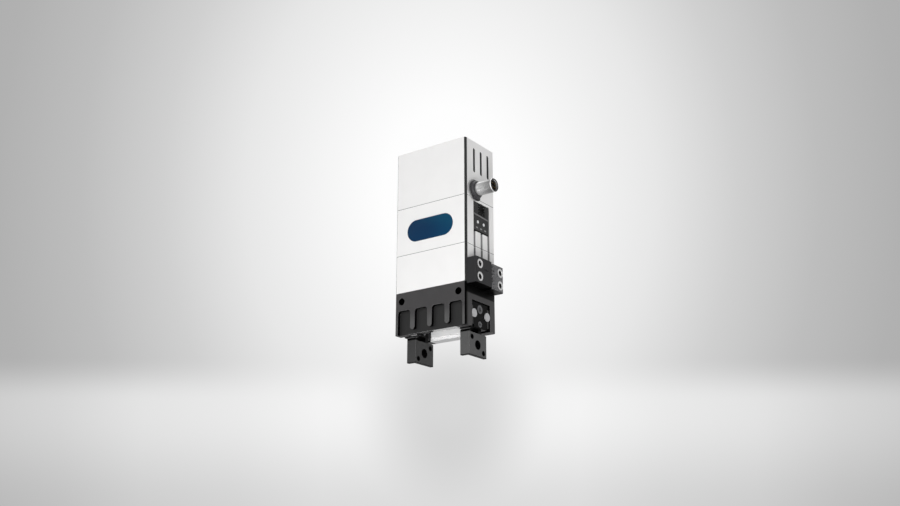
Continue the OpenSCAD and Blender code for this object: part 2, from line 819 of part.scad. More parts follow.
module planet_gear_b() {
  color([0.78, 0.7, 0.5]) placed() planet_gear(1);
}

module planet_gear_c() {
  color([0.78, 0.7, 0.5]) placed() planet_gear(2);
}

module ring_gear() {
  color([0.5, 0.5, 0.54]) placed() difference() {
    rod_z(ring_gear_d - 2 * seat_clearance, gear_floor_top, gear_floor_top + ring_gear_h);
    translate([0, 0, gear_floor_top - 1]) linear_extrude(ring_gear_h + 2) rotate(180 / ring_teeth)
      polygon(gear_points(ring_teeth, gear_module, -backlash, 1.25, 1));
  }
}

module sun_gear() {
  sun_top = flange_z - 0.6;
  color([0.66, 0.66, 0.7]) placed() translate([0, 0, planet_z]) difference() {
    gear(sun_teeth, gear_module, sun_top - planet_z);
    translate([0, 0, -1]) cylinder(d = motor_shaft_d, h = sun_top);
  }
}

// ---------- motor ----------

module motor_flange() {
  color([0.55, 0.56, 0.58]) placed() difference() {
    union() {
      rod_z(ring_gear_d - 2 * seat_clearance, flange_z, flange_z + flange_t);
      rod_z(2 * stator_r - 0.04, flange_z + flange_t - eps, motor_z + 1);
    }
    rod_z(motor_shaft_d + 1.4, flange_z - 1, motor_z + 2);
    rod_z(bearing_motor[1], motor_z - bearing_motor[2], motor_z + 2);
    for (i = [0 : 3]) rotate(45 + i * 90) rod_z(2, flange_z - 1, flange_z + flange_t + 2, 9.2);
  }
}

module motor_case() {
  color([0.4, 0.4, 0.42]) placed() difference() {
    rod_z(motor_d, motor_z, motor_z + motor_l);
    rod_z(2 * stator_r, motor_z - 1, motor_z + motor_l + 1);
  }
}

module motor_end_bell() {
  post_r = 9.4;
  color([0.55, 0.56, 0.58]) placed() difference() {
    union() {
      rod_z(2 * stator_r - 0.04, bell_z, motor_z + motor_l);
      rod_z(motor_d, motor_z + motor_l, bell_z + bell_t);
      for (i = [0 : 2]) rotate(60 + i * 120) rod_z(2.4, bell_z + bell_t - eps, board_z, post_r);
    }
    rod_z(motor_shaft_d + 1.4, bell_z - 1, bell_z + bell_t + 1);
    rod_z(bearing_motor[1], bell_z + bell_t - bearing_motor[2], bell_z + bell_t + 1);
  }
}

module motor_bearings() {
  color([0.75, 0.76, 0.78]) placed() {
    ball_bearing(bearing_motor, motor_z - bearing_motor[2]);
    ball_bearing(bearing_motor, bell_z + bell_t - bearing_motor[2]);
  }
}

// One slice of the stator: the back iron and its teeth with their shoes
module stator_section() {
  difference() {
    circle(stator_r - seat_clearance);
    circle(stator_r - back_iron);
  }
  difference() {
    for (i = [0 : coil_count - 1]) rotate(i * 360 / coil_count) {
      translate([shoe_r, -stator_tooth_w / 2]) square([stator_r - back_iron / 2 - shoe_r, stator_tooth_w]);
      intersection() {
        circle(shoe_r + shoe_t);
        polygon([[0, 0], polar(2 * shoe_r, -150 / coil_count), polar(2 * shoe_r, 150 / coil_count)]);
      }
    }
    circle(shoe_r);
  }
}

module stator_core() {
  color([0.45, 0.46, 0.5]) placed() translate([0, 0, stator_z]) linear_extrude(stator_l) stator_section();
}

module stator_coils() {
  overhang = coil_t + 0.3;
  x0 = shoe_r + shoe_t + 0.15;
  half_w = stator_tooth_w / 2 + 0.05;
  x1 = sqrt(pow(stator_r - back_iron - 0.1, 2) - pow(half_w + coil_t, 2));
  color([0.78, 0.45, 0.2]) placed() for (i = [0 : coil_count - 1])
    rotate(i * 360 / coil_count) difference() {
      block(x0, x1, -half_w - coil_t, half_w + coil_t, stator_z - overhang, stator_z + stator_l + overhang);
      block(x0 - 1, x1 + 1, -half_w, half_w, stator_z - 0.05, stator_z + stator_l + 0.05);
    }
}

module rotor_magnet() {
  color([0.25, 0.25, 0.28]) placed() difference() {
    rod_z(rotor_d, stator_z, stator_z + stator_l);
    rod_z(motor_shaft_d, stator_z - 1, stator_z + stator_l + 1);
  }
}

module motor_shaft() {
  d = motor_shaft_d;
  turning = d - 2 * run_clearance;
  color([0.8, 0.8, 0.82]) placed() {
    rod_z(d, planet_z + 0.3, flange_z - 0.3);
    rod_z(turning, flange_z - 0.3 - eps, stator_z - 0.5);
    rod_z(d, stator_z - 0.5 - eps, stator_z + stator_l + 0.5);
    rod_z(turning, stator_z + stator_l + 0.5 - eps, encoder_z);
  }
}

module encoder_magnet() {
  color([0.3, 0.3, 0.33]) placed() rod_z(5, encoder_z, encoder_z + magnet_h);
}

module encoder_board() {
  color([0.1, 0.35, 0.2]) placed() difference() {
    union() {
      rod_z(encoder_board_d, board_z, board_z + board_t);
      block(-2, 2, -2, 2, board_z - 0.5, board_z + eps);
    }
    for (a = [0 : 90 : 270]) rotate(a) rod_z(1, board_z - 1, board_z + board_t + 1, 6);
  }
}

// ---------- housings ----------

// A cooling groove in the side of the body, with round ends
module groove(y, z0, z1) {
  r = groove_w / 2;
  block(body_w / 2 - groove_depth, body_w / 2 + 1, y - r, y + r, z0 + r, z1 - r);
  for (z = [z0 + r, z1 - r]) rod_x(groove_w, body_w / 2 - groove_depth, body_w / 2 + 1, y, z);
}

module grooves(z0, z1) {
  for (e = [-1, 1], i = [-1 : 1]) mirrored_x(e) groove(groove_y + i * groove_pitch, z0, z1);
}

module tie_holes(z0, z1) {
  for (sx = [-1, 1], sy = [-1, 1]) rod_z(tie_screw_d + 0.3, z0, z1, sx * tie_x, sy * tie_y);
}

module gearhead_housing() {
  color([0.82, 0.83, 0.85]) placed() difference() {
    body_slice(gear_housing_z, gear_housing_h);
    rod_z(ring_gear_d, gear_floor_top, motor_housing_z + 1);
    rod_z(bearing_large[1], gear_floor_top - bearing_large[2], gear_floor_top + 1);
    rod_z(bearing_large[1] - 3, gear_housing_z - 1, gear_floor_top);
    tie_holes(gear_housing_z - 1, motor_housing_z + 1);
    grooves(lower_groove_z0, lower_groove_z1);
    bracket_holes(bracket_screw_d, body_w / 2 - bracket_thread_l - 0.2, body_w / 2 + 1);
  }
}

module motor_housing() {
  x = body_w / 2;
  m = panel_pocket_margin;
  color([0.86, 0.87, 0.89]) placed() difference() {
    body_slice(motor_housing_z, motor_housing_h);
    rod_z(2 * motor_bore_r, motor_housing_z - 1, top_housing_z + 1);
    tie_holes(motor_housing_z - 1, top_housing_z + 1);
    grooves(lower_groove_z0, lower_groove_z1);
    block(x - panel_t, x + 1, panel_y - panel_w / 2, panel_y + panel_w / 2, panel_z, panel_z + panel_h);
    block(x - panel_t - panel_pocket_depth, x + 1, panel_y - panel_w / 2 + m, panel_y + panel_w / 2 - m,
      panel_z + m, panel_z + panel_h - m);
    rod_z(3, panel_z + panel_h - m - 1, top_housing_z + 1, x - panel_t - 2.2, panel_y);
  }
}

module electronics_housing() {
  z0 = top_housing_z;
  x = body_w / 2;
  color([0.86, 0.87, 0.89]) placed() difference() {
    union() {
      difference() {
        body_slice(z0, top_housing_h);
        block(-cavity_half_x, cavity_half_x, -cavity_half_y, cavity_half_y, cavity_bottom, body_top + 1);
        block(-cover_half_x, cover_half_x, -cover_half_y, cover_half_y, cover_z, body_top + 1);
      }
      for (sx = [-1, 1], sy = [-1, 1])
        rod_z(cover_boss_d, cover_z - 8, cover_z, sx * cover_screw_x, sy * cover_screw_y);
    }
    for (sx = [-1, 1], sy = [-1, 1]) {
      rod_z(2, cover_z - 6, cover_z + 1, sx * cover_screw_x, sy * cover_screw_y);
      rod_z(tie_head_d + 0.4, cavity_bottom, cover_z, sx * tie_x, sy * tie_y);
    }
    tie_holes(z0 - 1, cavity_bottom + 1);
    grooves(upper_groove_z0, upper_groove_z1);
    rod_x(2 * connector_wall_r, cavity_half_x - 1, x + 1, -connector_y, connector_z);
    block(cavity_half_x - 4.4, cavity_half_x, -connector_y - connector_wall_r - 0.2,
      -connector_y + connector_wall_r + 0.2, connector_z - connector_wall_r - 0.2, cavity_bottom + 1);
    rod_z(3, z0 - 1, cavity_bottom + 1, x - panel_t - 2.2, panel_y);
    rod_z(6, z0 - 1, cavity_bottom + 1);
  }
}

module top_cover() {
  c = seat_clearance;
  color([0.84, 0.85, 0.87]) placed() difference() {
    block(-cover_half_x + c, cover_half_x - c, -cover_half_y + c, cover_half_y - c, cover_z, body_top);
    for (sx = [-1, 1], sy = [-1, 1]) translate([sx * cover_screw_x, sy * cover_screw_y, 0]) {
      rod_z(2.2, cover_z - 1, body_top + 1);
      translate([0, 0, body_top - 0.95]) cylinder(d1 = 2.1, d2 = 4, h = 0.95 + eps);
    }
  }
}

module top_cover_screws() {
  color([0.4, 0.4, 0.42]) placed() for (sx = [-1, 1], sy = [-1, 1])
    translate([sx * cover_screw_x, sy * cover_screw_y, body_top - 0.05]) flat_screw(2, cover_t + 5, 3.8);
}

module tie_screws() {
  color([0.4, 0.4, 0.42]) placed() for (sx = [-1, 1], sy = [-1, 1])
    translate([sx * tie_x, sy * tie_y, cavity_bottom])
      cap_screw(tie_screw_d, cavity_bottom - base_h + tie_bite, tie_head_d, tie_head_h);
}

module control_board() {
  z0 = control_board_z[0];
  z1 = control_board_z[1];
  y = control_board_y;
  color([0.1, 0.35, 0.2]) placed() difference() {
    union() {
      block(-control_board_half_w, control_board_half_w, y, y + board_t, z0, z1);
      block(-7, 3, y - 1.2, y + eps, z0 + 5, z0 + 15);
      for (i = [0 : 2]) rod_y(5, -12.5 + i * 6, y - 6, y + eps, z1 - 3);
      for (i = [0 : 3]) block(6 + i * 2.6, 7.6 + i * 2.6, y - 0.8, y + eps, z0 + 5, z0 + 9);
      block(-15, -8, y - 3.5, y + eps, z0 + 1, z0 + 5);
    }
    for (p = standoff_places()) rod_y(1.9, p[0], y - 1, y + board_t + 1, p[1]);
  }
}

function standoff_places() = [for (sx = [-1, 1], z = standoff_z) [sx * standoff_x, z]];

module board_standoffs() {
  y = control_board_y;
  color([0.7, 0.7, 0.72]) placed() for (p = standoff_places()) {
    rod_y(standoff_d, p[0], y + board_t, cavity_half_y, p[1]);
    rod_y(1.8, p[0], y - eps, y + board_t + eps, p[1]);
    rod_y(standoff_d, p[0], y - 0.8, y, p[1]);
  }
}

// ---------- panel ----------

module control_panel() {
  x = body_w / 2;
  c = panel_clearance;
  seam_z = panel_z + 10.1;
  color([0.1, 0.1, 0.11]) placed() difference() {
    block(x - panel_t, x, panel_y - panel_w / 2 + c, panel_y + panel_w / 2 - c,
      panel_z + c, panel_z + panel_h - c);
    block(x - 0.3, x + 1, panel_y - panel_w, panel_y + panel_w, seam_z - 0.2, seam_z + 0.2);
    rod_x(selector_d + 0.2, x - panel_t - 1, x + 1, selector_y, selector_z);
    for (p = status_lights) rod_x(status_light_d + 0.04, x - panel_t - 1, x + 1, p[0], p[1]);
  }
}

module panel_board() {
  m = panel_pocket_margin + 0.2;
  x = panel_board_x;
  color([0.1, 0.35, 0.2]) placed() {
    block(x - board_t, x, panel_y - panel_w / 2 + m, panel_y + panel_w / 2 - m,
      panel_z + m, panel_z + panel_h - m);
    block(x - eps, x + 1.4, selector_y - 2.6, selector_y + 2.6, selector_z - 2.6, selector_z + 2.6);
    for (s = [-1, 1], z = [panel_z + 2.6, panel_z + panel_h - 2.6])
      rod_x(1.8, x - eps, body_w / 2 - panel_t, panel_y + s * 4.86, z);
  }
}

module selector() {
  x = body_w / 2;
  color([0.05, 0.05, 0.05]) placed() difference() {
    rod_x(selector_d, panel_board_x + 1.5, x - 0.2, selector_y, selector_z);
    block(x - 0.8, x + 1, selector_y - 1.7, selector_y + 1.7, selector_z - 0.35, selector_z + 0.35);
    block(x - 0.8, x + 1, selector_y + 0.9, selector_y + 1.6, selector_z - 0.8, selector_z + 0.8);
  }
}

module status_lights() {
  color([0.95, 0.96, 1]) placed() for (p = status_lights)
    rod_x(status_light_d, panel_board_x, body_w / 2 + 0.15, p[0], p[1]);
}

// ---------- connector ----------

module connector_shell() {
  x = body_w / 2;
  y = -connector_y;
  d = 2 * connector_wall_r - 2 * seat_clearance;
  color([0.85, 0.85, 0.87]) placed() difference() {
    union() {
      rod_x(d, cavity_half_x - 4, x + collar_l, y, connector_z);
      rod_x(connector_d, x + collar_l, x + collar_l + connector_l, y, connector_z);
    }
    rod_x(2 * shell_bore_r, x, x + collar_l + connector_l + 1, y, connector_z);
    rod_x(2 * shell_bore_r - 1, cavity_half_x - 5, x + 1, y, connector_z);
  }
}

module connector_collar() {
  notches = 8;
  color([0.16, 0.16, 0.17]) placed() translate([body_w / 2, -connector_y, connector_z]) rotate([0, 90, 0])
    difference() {
      cylinder(d = collar_d, h = collar_l);
      translate([0, 0, -1]) cylinder(d = 2 * connector_wall_r, h = collar_l + 2);
      for (i = [0 : notches - 1]) rotate((i + 0.5) * 360 / notches) translate([collar_d / 2 - 0.6, -0.7, 1.2])
        cube([2, 1.4, collar_l]);
    }
}

module connector_insert() {
  x1 = body_w / 2 + collar_l + connector_l - 1.6;
  color([0.08, 0.08, 0.08]) placed() difference() {
    union() {
      rod_x(2 * shell_bore_r - 2 * seat_clearance, body_w / 2, x1, -connector_y, connector_z);
      rod_x(2 * shell_bore_r - 1.1, cavity_half_x - 4, body_w / 2 + eps, -connector_y, connector_z);
    }
    connector_pin_places() rod_x(1, 0, body_w, 0, 0);
  }
}

module connector_pin_places() {
  for (a = [45 : 90 : 315])
    translate([0, -connector_y + pin_circle_r * cos(a), connector_z + pin_circle_r * sin(a)]) children();
}

module connector_pins() {
  color([0.9, 0.75, 0.35]) placed() connector_pin_places()
    rod_x(1, cavity_half_x - 5.5, body_w / 2 + collar_l + connector_l - 0.4, 0, 0);
}

// ---------- sensor bracket ----------

// The holes for the four bracket screws; the rear pair sits lower
module bracket_holes(d, x0, x1) {
  for (z = bracket_screw_z) {
    rod_x(d, x0, x1, front_screw_y, z);
    rod_x(d, x0, x1, rear_screw_y, z - bracket_step);
  }
}

// A block of the bracket, from y0 to y1, with its two outer upright edges chamfered
module bracket_block(y0, y1, z0, chamfer) {
  c = chamfer;
  t = bracket_t;
  head_z = t - m3_head_h;
  translate([body_w / 2, 0, 0]) difference() {
    translate([0, 0, z0]) linear_extrude(bracket_h)
      polygon([[0, y0], [t - c, y0], [t, y0 + c], [t, y1 - c], [t - c, y1], [0, y1]]);
    bracket_holes(bracket_screw_d + 0.2, -1, t + 1);
    bracket_holes(m3_head_d + 0.2, head_z, t + 1);
  }
}

module sensor_bracket() {
  x = body_w / 2 + bracket_t;
  slit_y = bracket_front_y + bracket_front_d - 6;
  color([0.2, 0.2, 0.21]) placed() difference() {
    bracket_block(bracket_front_y, bracket_front_y + bracket_front_d, bracket_z, 0.6);
    block(x - 0.6, x + 1, slit_y - 2, slit_y + 2, bracket_slit_z, bracket_slit_z + 0.7);
  }
}

module sensor_clamp() {
  color([0.5, 0.5, 0.52]) placed()
    bracket_block(bracket_rear_y, bracket_rear_y + bracket_rear_d, bracket_z - bracket_step, 1.2);
}

module bracket_screw() {
  shank = bracket_t - m3_head_h + bracket_thread_l;
  rotate([0, 90, 0]) cap_screw(bracket_screw_d, shank, m3_head_d, m3_head_h);
}

module bracket_screws() {
  x = body_w / 2 + bracket_t - m3_head_h;
  color([0.85, 0.85, 0.87]) placed() for (z = bracket_screw_z) {
    translate([x, front_screw_y, z]) bracket_screw();
    translate([x, rear_screw_y, z - bracket_step]) bracket_screw();
  }
}

base_housing();
gearhead_housing();
motor_housing();
electronics_housing();
top_cover();
top_cover_screws();
tie_screws();
front_guide_rail();
rear_guide_rail();
rail_screws();
race_end_caps();
right_carriage();
left_carriage();
right_jaw();
left_jaw();
right_jaw_screws();
left_jaw_screws();
right_rack();
left_rack();
right_rack_screws();
left_rack_screws();
right_roller_cages();
left_roller_cages();
right_rollers();
left_rollers();
drive_pinion();
pinion_clip();
pinion_bearing();
carrier_bearing();
planet_carrier();
carrier_ring();
planet_pins();
planet_gear_a();
planet_gear_b();
planet_gear_c();
ring_gear();
sun_gear();
motor_flange();
motor_case();
motor_end_bell();
motor_bearings();
stator_core();
stator_coils();
rotor_magnet();
motor_shaft();
encoder_magnet();
encoder_board();
control_board();
board_standoffs();
control_panel();
panel_board();
selector();
status_lights();
connector_shell();
connector_collar();
connector_insert();
connector_pins();
sensor_bracket();
sensor_clamp();
bracket_screws();
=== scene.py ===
import math

import bmesh
import bpy
from mathutils import Matrix, Vector


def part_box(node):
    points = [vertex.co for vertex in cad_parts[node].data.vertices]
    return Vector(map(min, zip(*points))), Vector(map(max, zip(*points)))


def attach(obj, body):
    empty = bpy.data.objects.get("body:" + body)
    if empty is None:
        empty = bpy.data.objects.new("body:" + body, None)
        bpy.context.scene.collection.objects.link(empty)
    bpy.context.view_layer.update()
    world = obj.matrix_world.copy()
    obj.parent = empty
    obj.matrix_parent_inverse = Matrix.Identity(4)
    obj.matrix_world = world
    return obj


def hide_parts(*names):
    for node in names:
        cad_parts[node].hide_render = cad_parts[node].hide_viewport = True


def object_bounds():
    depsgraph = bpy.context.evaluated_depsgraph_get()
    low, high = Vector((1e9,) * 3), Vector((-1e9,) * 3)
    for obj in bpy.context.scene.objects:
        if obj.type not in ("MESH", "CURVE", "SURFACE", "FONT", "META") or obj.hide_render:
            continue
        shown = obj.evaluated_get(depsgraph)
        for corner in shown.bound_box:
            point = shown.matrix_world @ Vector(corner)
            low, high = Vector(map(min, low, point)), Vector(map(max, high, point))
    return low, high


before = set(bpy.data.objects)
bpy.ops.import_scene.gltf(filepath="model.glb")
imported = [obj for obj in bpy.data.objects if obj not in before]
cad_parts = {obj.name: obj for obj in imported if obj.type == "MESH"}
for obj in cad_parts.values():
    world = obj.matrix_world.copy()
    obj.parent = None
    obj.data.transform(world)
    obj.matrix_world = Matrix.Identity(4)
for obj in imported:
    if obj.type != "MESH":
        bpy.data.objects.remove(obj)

cad_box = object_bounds()
mm = 0.001

# ---------- Camera ----------
# A long, level-held lens that looks up at the gripper from below its right front corner.
# It stands about 0.6 metres away, so the uprights stay nearly parallel.
camera_azimuth = math.radians(35.61)
camera_elevation = math.radians(-18.20)
camera_place = Vector((335.0, -462.8, -158.0)) * mm
bpy.context.scene.view_settings.view_transform = "Standard"
camera_data = bpy.data.cameras.new("camera")
camera_data.sensor_width = 36
camera_data.lens = 41.01
camera_data.clip_start = 0.02
camera_data.clip_end = 50
camera = bpy.data.objects.new("camera", camera_data)
bpy.context.scene.collection.objects.link(camera)
bpy.context.scene.camera = camera
away = Vector((
    -math.sin(camera_azimuth) * math.cos(camera_elevation),
    math.cos(camera_azimuth) * math.cos(camera_elevation),
    -math.sin(camera_elevation),
))
camera.location = camera_place
camera.rotation_euler = away.to_track_quat("-Z", "Y").to_euler()


# ---------- Studio ----------
# A plain pale floor well below the gripper, and a pale backdrop with a soft white glow behind it.
# Soft lamps at the front, above and low on the right light it, the low ones through the floor, which
# lets their light pass. None of it is part of the gripper.
class Socket:
    """An output of a node, so that sums on it can be written as plain expressions."""

    def __init__(self, graph, socket):
        self.graph = graph
        self.socket = socket

    def __getitem__(self, output):
        return Socket(self.graph, self.socket.node.outputs[output])

    def sum(self, operation, *values):
        return self.graph.node("ShaderNodeMath", {"operation": operation}, dict(enumerate(values)))

    def __add__(self, other):
        return self.sum("ADD", self, other)

    def __sub__(self, other):
        return self.sum("SUBTRACT", self, other)

    def __rsub__(self, other):
        return self.sum("SUBTRACT", other, self)

    def __mul__(self, other):
        return self.sum("MULTIPLY", self, other)

    def __truediv__(self, other):
        return self.sum("DIVIDE", self, other)

    def __pow__(self, other):
        return self.sum("POWER", self, other)

    def __gt__(self, other):
        return self.sum("GREATER_THAN", self, other)

    def __lt__(self, other):
        return self.sum("LESS_THAN", self, other)

    def __abs__(self):
        return self.sum("ABSOLUTE", self)

    __radd__ = __add__
    __rmul__ = __mul__


class Graph:
    """A node tree that is built by calls of one method."""

    def __init__(self, tree):
        self.tree = tree
        tree.nodes.clear()

    def node(self, kind, settings=None, sockets=None):
        made = self.tree.nodes.new(kind)
        for name, value in (settings or {}).items():
            if name == "stops":
                ramp = made.color_ramp
                ramp.elements[0].position, ramp.elements[0].color = value[0]
                ramp.elements[1].position, ramp.elements[1].color = value[-1]
                for place, colour in value[1:-1]:
                    ramp.elements.new(place).color = colour
            else:
                setattr(made, name, value)
        for name, value in (sockets or {}).items():
            self.feed(made.inputs[name], value)
        return Socket(self, made.outputs[0]) if made.outputs else made

    def feed(self, socket, value):
        if isinstance(value, Socket):
            self.tree.links.new(value.socket, socket)
        else:
            socket.default_value = value

    def mix(self, factor, low, high):
        """low where the factor is 0, high where it is 1, both colours."""
        settings = {"data_type": "RGBA", "clamp_factor": True}
        return self.node("ShaderNodeMix", settings, {0: factor, 6: low, 7: high})[2]

    def step(self, value, start, end):
        """0 before start and 1 after end, with a smooth rise between them."""
        settings = {"interpolation_type": "SMOOTHSTEP"}
        return self.node("ShaderNodeMapRange", settings, {0: value, 1: start, 2: end})

    def either(self, one, other):
        return one.sum("MAXIMUM", one, other)


def grey(level):
    return (level, level, level, 1)


floor_drop = 0.16
floor_z = cad_box[0].z - floor_drop
floor_radius = 4
bm = bmesh.new()
bmesh.ops.create_circle(bm, cap_ends=True, segments=96, radius=floor_radius)
floor_mesh = bpy.data.meshes.new("studio_floor")
bm.to_mesh(floor_mesh)
bm.free()
floor_mesh.transform(Matrix.Translation((0, 0, floor_z)))
floor = bpy.data.objects.new("studio_floor", floor_mesh)
bpy.context.scene.collection.objects.link(floor)

floor_material = bpy.data.materials.new("studio_floor_paint")
floor_material.use_nodes = True
paint = Graph(floor_material.node_tree)
place = paint.node("ShaderNodeTexCoord")["Object"]
reach = paint.node("ShaderNodeVectorMath", {"operation": "LENGTH"}, {0: place})["Value"]
grain = paint.node("ShaderNodeTexNoise", None, {"Vector": place, "Scale": 3.0, "Detail": 2.0})
floor_tone = paint.mix(grain, grey(0.78), grey(0.82))
matt = paint.node("ShaderNodeBsdfDiffuse", None, {"Color": floor_tone})
clear = paint.node("ShaderNodeBsdfTransparent")
underneath = paint.node("ShaderNodeNewGeometry")["Backfacing"]
lit_through = paint.node("ShaderNodeLightPath")["Is Shadow Ray"]
hidden = paint.either(paint.either(underneath, lit_through), paint.step(reach, 0.7, 2.4))
floor_look = paint.node("ShaderNodeMixShader", None, {0: hidden, 1: matt, 2: clear})
paint.node("ShaderNodeOutputMaterial", None, {"Surface": floor_look})
floor_mesh.materials.append(floor_material)

# The backdrop is drawn as if on a board that faces the camera's stand: u runs to its right and
# v up it, as tangents of the angle from its middle. A brighter floor begins at v = floor_line.
backdrop = bpy.data.worlds.new("studio_backdrop")
bpy.context.scene.world = backdrop
backdrop.use_nodes = True
sky = Graph(backdrop.node_tree)
across = Vector((math.cos(camera_azimuth), math.sin(camera_azimuth), 0))
upward = across.cross(away)
floor_line = -0.100
direction = sky.node("ShaderNodeTexCoord")["Generated"]


def along(axis):
    """How far each direction of the backdrop points along that axis."""
    return sky.node("ShaderNodeVectorMath", {"operation": "DOT_PRODUCT"}, {0: direction, 1: axis})["Value"]


depth = along(away)
ahead = sky.step(depth, 0.3, 0.7)
facing = depth.sum("MAXIMUM", depth, 0.3)
u = along(across) / facing
v = along(upward) / facing
glow_v = 0.06
radius = ((u * u) + ((v - glow_v) * 0.8) ** 2) ** 0.5
wall_stops = [
    (0.0, grey(1.0)), (0.13, grey(0.99)), (0.26, grey(0.90)), (0.40, grey(0.80)),
    (0.56, grey(0.63)), (0.72, grey(0.51)), (0.88, grey(0.44)), (1.0, grey(0.42)),
]
wall = sky.node("ShaderNodeValToRGB", {"stops": wall_stops}, {0: radius * 2})
floor_stops = [
    (0.0, grey(0.90)), (0.25, grey(0.90)), (0.42, grey(0.82)), (0.6, grey(0.77)),
    (0.76, grey(0.67)), (0.9, grey(0.61)), (1.0, grey(0.58)),
]
ground = sky.node("ShaderNodeValToRGB", {"stops": floor_stops}, {0: abs(u) * 2})
ground_share = sky.step(v, floor_line, floor_line - 0.045)
# Painted shade: the backdrop's floor is darker towards the bottom.
near_painted_shade = 1 - sky.step(v, -0.15, -0.26) * 0.21
shadow_v = -0.154
shadow_r = 0.100
shadow_depth = 0.24
spot = ((u / shadow_r) ** 2 + ((v - shadow_v) / shadow_r) ** 2) ** 0.5
soft_shadow = 1 - (1 - sky.step(spot, 0.20, 1.05)) * shadow_depth
ground = sky.node("ShaderNodeVectorMath", {"operation": "SCALE"}, {0: ground, "Scale": near_painted_shade})
board = sky.mix(ground_share, wall, ground)
board = sky.node("ShaderNodeVectorMath", {"operation": "SCALE"}, {0: board, "Scale": soft_shadow})
shown = sky.mix(ahead, grey(0.82), board)
rays = sky.node("ShaderNodeLightPath")
seen = sky.either(sky.either(rays["Is Camera Ray"], rays["Is Glossy Ray"]), rays["Is Transmission Ray"])
plain_light = sky.node("ShaderNodeBackground", None, {"Color": grey(1.0), "Strength": 0.31})
shown_light = sky.node("ShaderNodeBackground", None, {"Color": shown, "Strength": 1.0})
surroundings = sky.node("ShaderNodeMixShader", None, {0: seen, 1: plain_light, 2: shown_light})
sky.node("ShaderNodeOutputWorld", None, {"Surface": surroundings})

# Each lamp's place and width in metres, and its power in watts.
lamps = {
    "front_lamp": ((0.1, -1.5, 0.3), 1.3, 5),
    "front_fill": ((0.15, -0.28, -0.21), 0.15, 0.85),
    "right_lamp": ((0.30, 0.12, -0.26), 0.3, 0.55),
    "overhead_lamp": ((0.1, 0.2, 1.6), 1.2, 10),
    "low_lamp": ((0.35, -0.75, -0.45), 0.6, 3.4),
}
subject = (cad_box[0] + cad_box[1]) / 2
for name, (spot_place, width, power) in lamps.items():
    lamp = bpy.data.lights.new(name, "AREA")
    lamp.size = width
    lamp.energy = power
    holder = bpy.data.objects.new(name, lamp)
    bpy.context.scene.collection.objects.link(holder)
    holder.location = spot_place
    holder.visible_camera = False
    holder.rotation_euler = (subject - Vector(spot_place)).to_track_quat("-Z", "Y").to_euler()


# ---------- Base ----------
# Milled from aluminium and anodised black, with four pockets across its front and two cross-drilled
# mounting holes. The guide channel and the sole are machined bright after the dyeing, and painted near
# white as a painted reflection of the light from below. Shade and highlights are painted on it too.
class Finish(Graph):
    """A material on a principled shader, with a fine grain, softly broken edges and corners lightened partly
    as wear and partly as a painted highlight.
    """

    def __init__(self, name):
        self.material = bpy.data.materials.new(name)
        self.material.use_nodes = True
        super().__init__(self.material.node_tree)
        self.at = self.node("ShaderNodeTexCoord")["Object"]
        split = self.node("ShaderNodeSeparateXYZ", None, {0: self.at})
        self.x, self.y, self.z = split["X"], split["Y"], split["Z"]
        self.face = self.node("ShaderNodeNewGeometry")["True Normal"]

    def noise(self, size, stretch=(1, 1, 1), detail=3.0):
        """Noise whose blobs are about that many millimetres across, longer where stretch is below 1."""
        scaled = self.node("ShaderNodeVectorMath", {"operation": "MULTIPLY"}, {0: self.at, 1: stretch})
        sockets = {"Vector": scaled, "Scale": 1 / (size * mm), "Detail": detail}
        return self.node("ShaderNodeTexNoise", None, sockets)

    def eased(self, radius):
        """The surface direction with its edges rounded by that many millimetres."""
        return self.node("ShaderNodeBevel", {"samples": 4}, {"Radius": radius * mm})

    def edges(self, eased):
        """1 on an outer or inner edge, 0 on the flat."""
        sockets = {0: eased, 1: self.face}
        level = self.node("ShaderNodeVectorMath", {"operation": "DOT_PRODUCT"}, sockets)["Value"]
        return self.step(1 - level, 0.02, 0.22)

    def bump(self, height, depth, normal):
        sockets = {"Strength": 1.0, "Distance": depth * mm, "Height": height, "Normal": normal}
        return self.node("ShaderNodeBump", None, sockets)

    def surface(self, **sockets):
        named = {name.replace("_", " "): value for name, value in sockets.items()}
        shader = self.node("ShaderNodeBsdfPrincipled", None, named)
        self.node("ShaderNodeOutputMaterial", None, {"Surface": shader})
        return self.material


def anodised(name, deep, pale, edge_wear_and_highlight, roughness, metallic=0.3, edge=0.25, specular=0.5, mottle=9,
             tone=None, painted_shade_and_pits=None, polished=None):
    """Blasted aluminium, anodised in a dye bath and sealed, its edges lighter, partly as wear and partly as
    a painted highlight. tone(finish, colour) may change the colour by place. The shade rule is 1 where
    shade is painted in black and the shine taken away, and on the clamp also in its dark blasting pits.
    The sheen rule is 1 where the metal is bare and lapped and painted near white as a painted reflection."""
    f = Finish(name)
    cloud = f.noise(mottle, detail=2.0)
    grain = f.noise(0.22)
    soft = f.eased(edge)
    colour = f.mix(cloud * 0.6 + grain * 0.4, deep, pale)
    scuffs = f.step(f.noise(2.4, stretch=(1, 1, 0.35)), 0.35, 0.7)
    # Lighter edges: partly wear, partly a painted highlight.
    colour = f.mix(f.edges(soft) * (0.30 + 0.70 * scuffs), colour, edge_wear_and_highlight)
    if tone:
        colour = tone(f, colour)
    # Painted shade: black, with the shine taken away.
    if painted_shade_and_pits:
        black = painted_shade_and_pits(f)
        colour = f.mix(black, colour, grey(0.002))
        metallic = black * (1 - metallic) + metallic
    rough = roughness + (grain - 0.5) * 0.18 + (cloud - 0.5) * 0.08
    # Bare metal painted near white: a painted reflection of the light from below.
    if polished:
        bare = polished(f)
        colour = f.mix(bare, colour, f.mix(cloud, grey(0.86), grey(0.95)))
        metallic = bare * (1 - metallic) + metallic
        rough = rough + bare * (0.14 - rough)
    normal = f.bump(grain, 0.006, soft)
    return f.surface(Base_Color=colour, Roughness=rough, Metallic=metallic, Normal=normal,
                     Specular_IOR_Level=specular)


def dress(material, *names):
    """Gives CAD nodes that material in place of their plain one."""
    for name in names:
        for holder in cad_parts[name].material_slots:
            holder.material = material


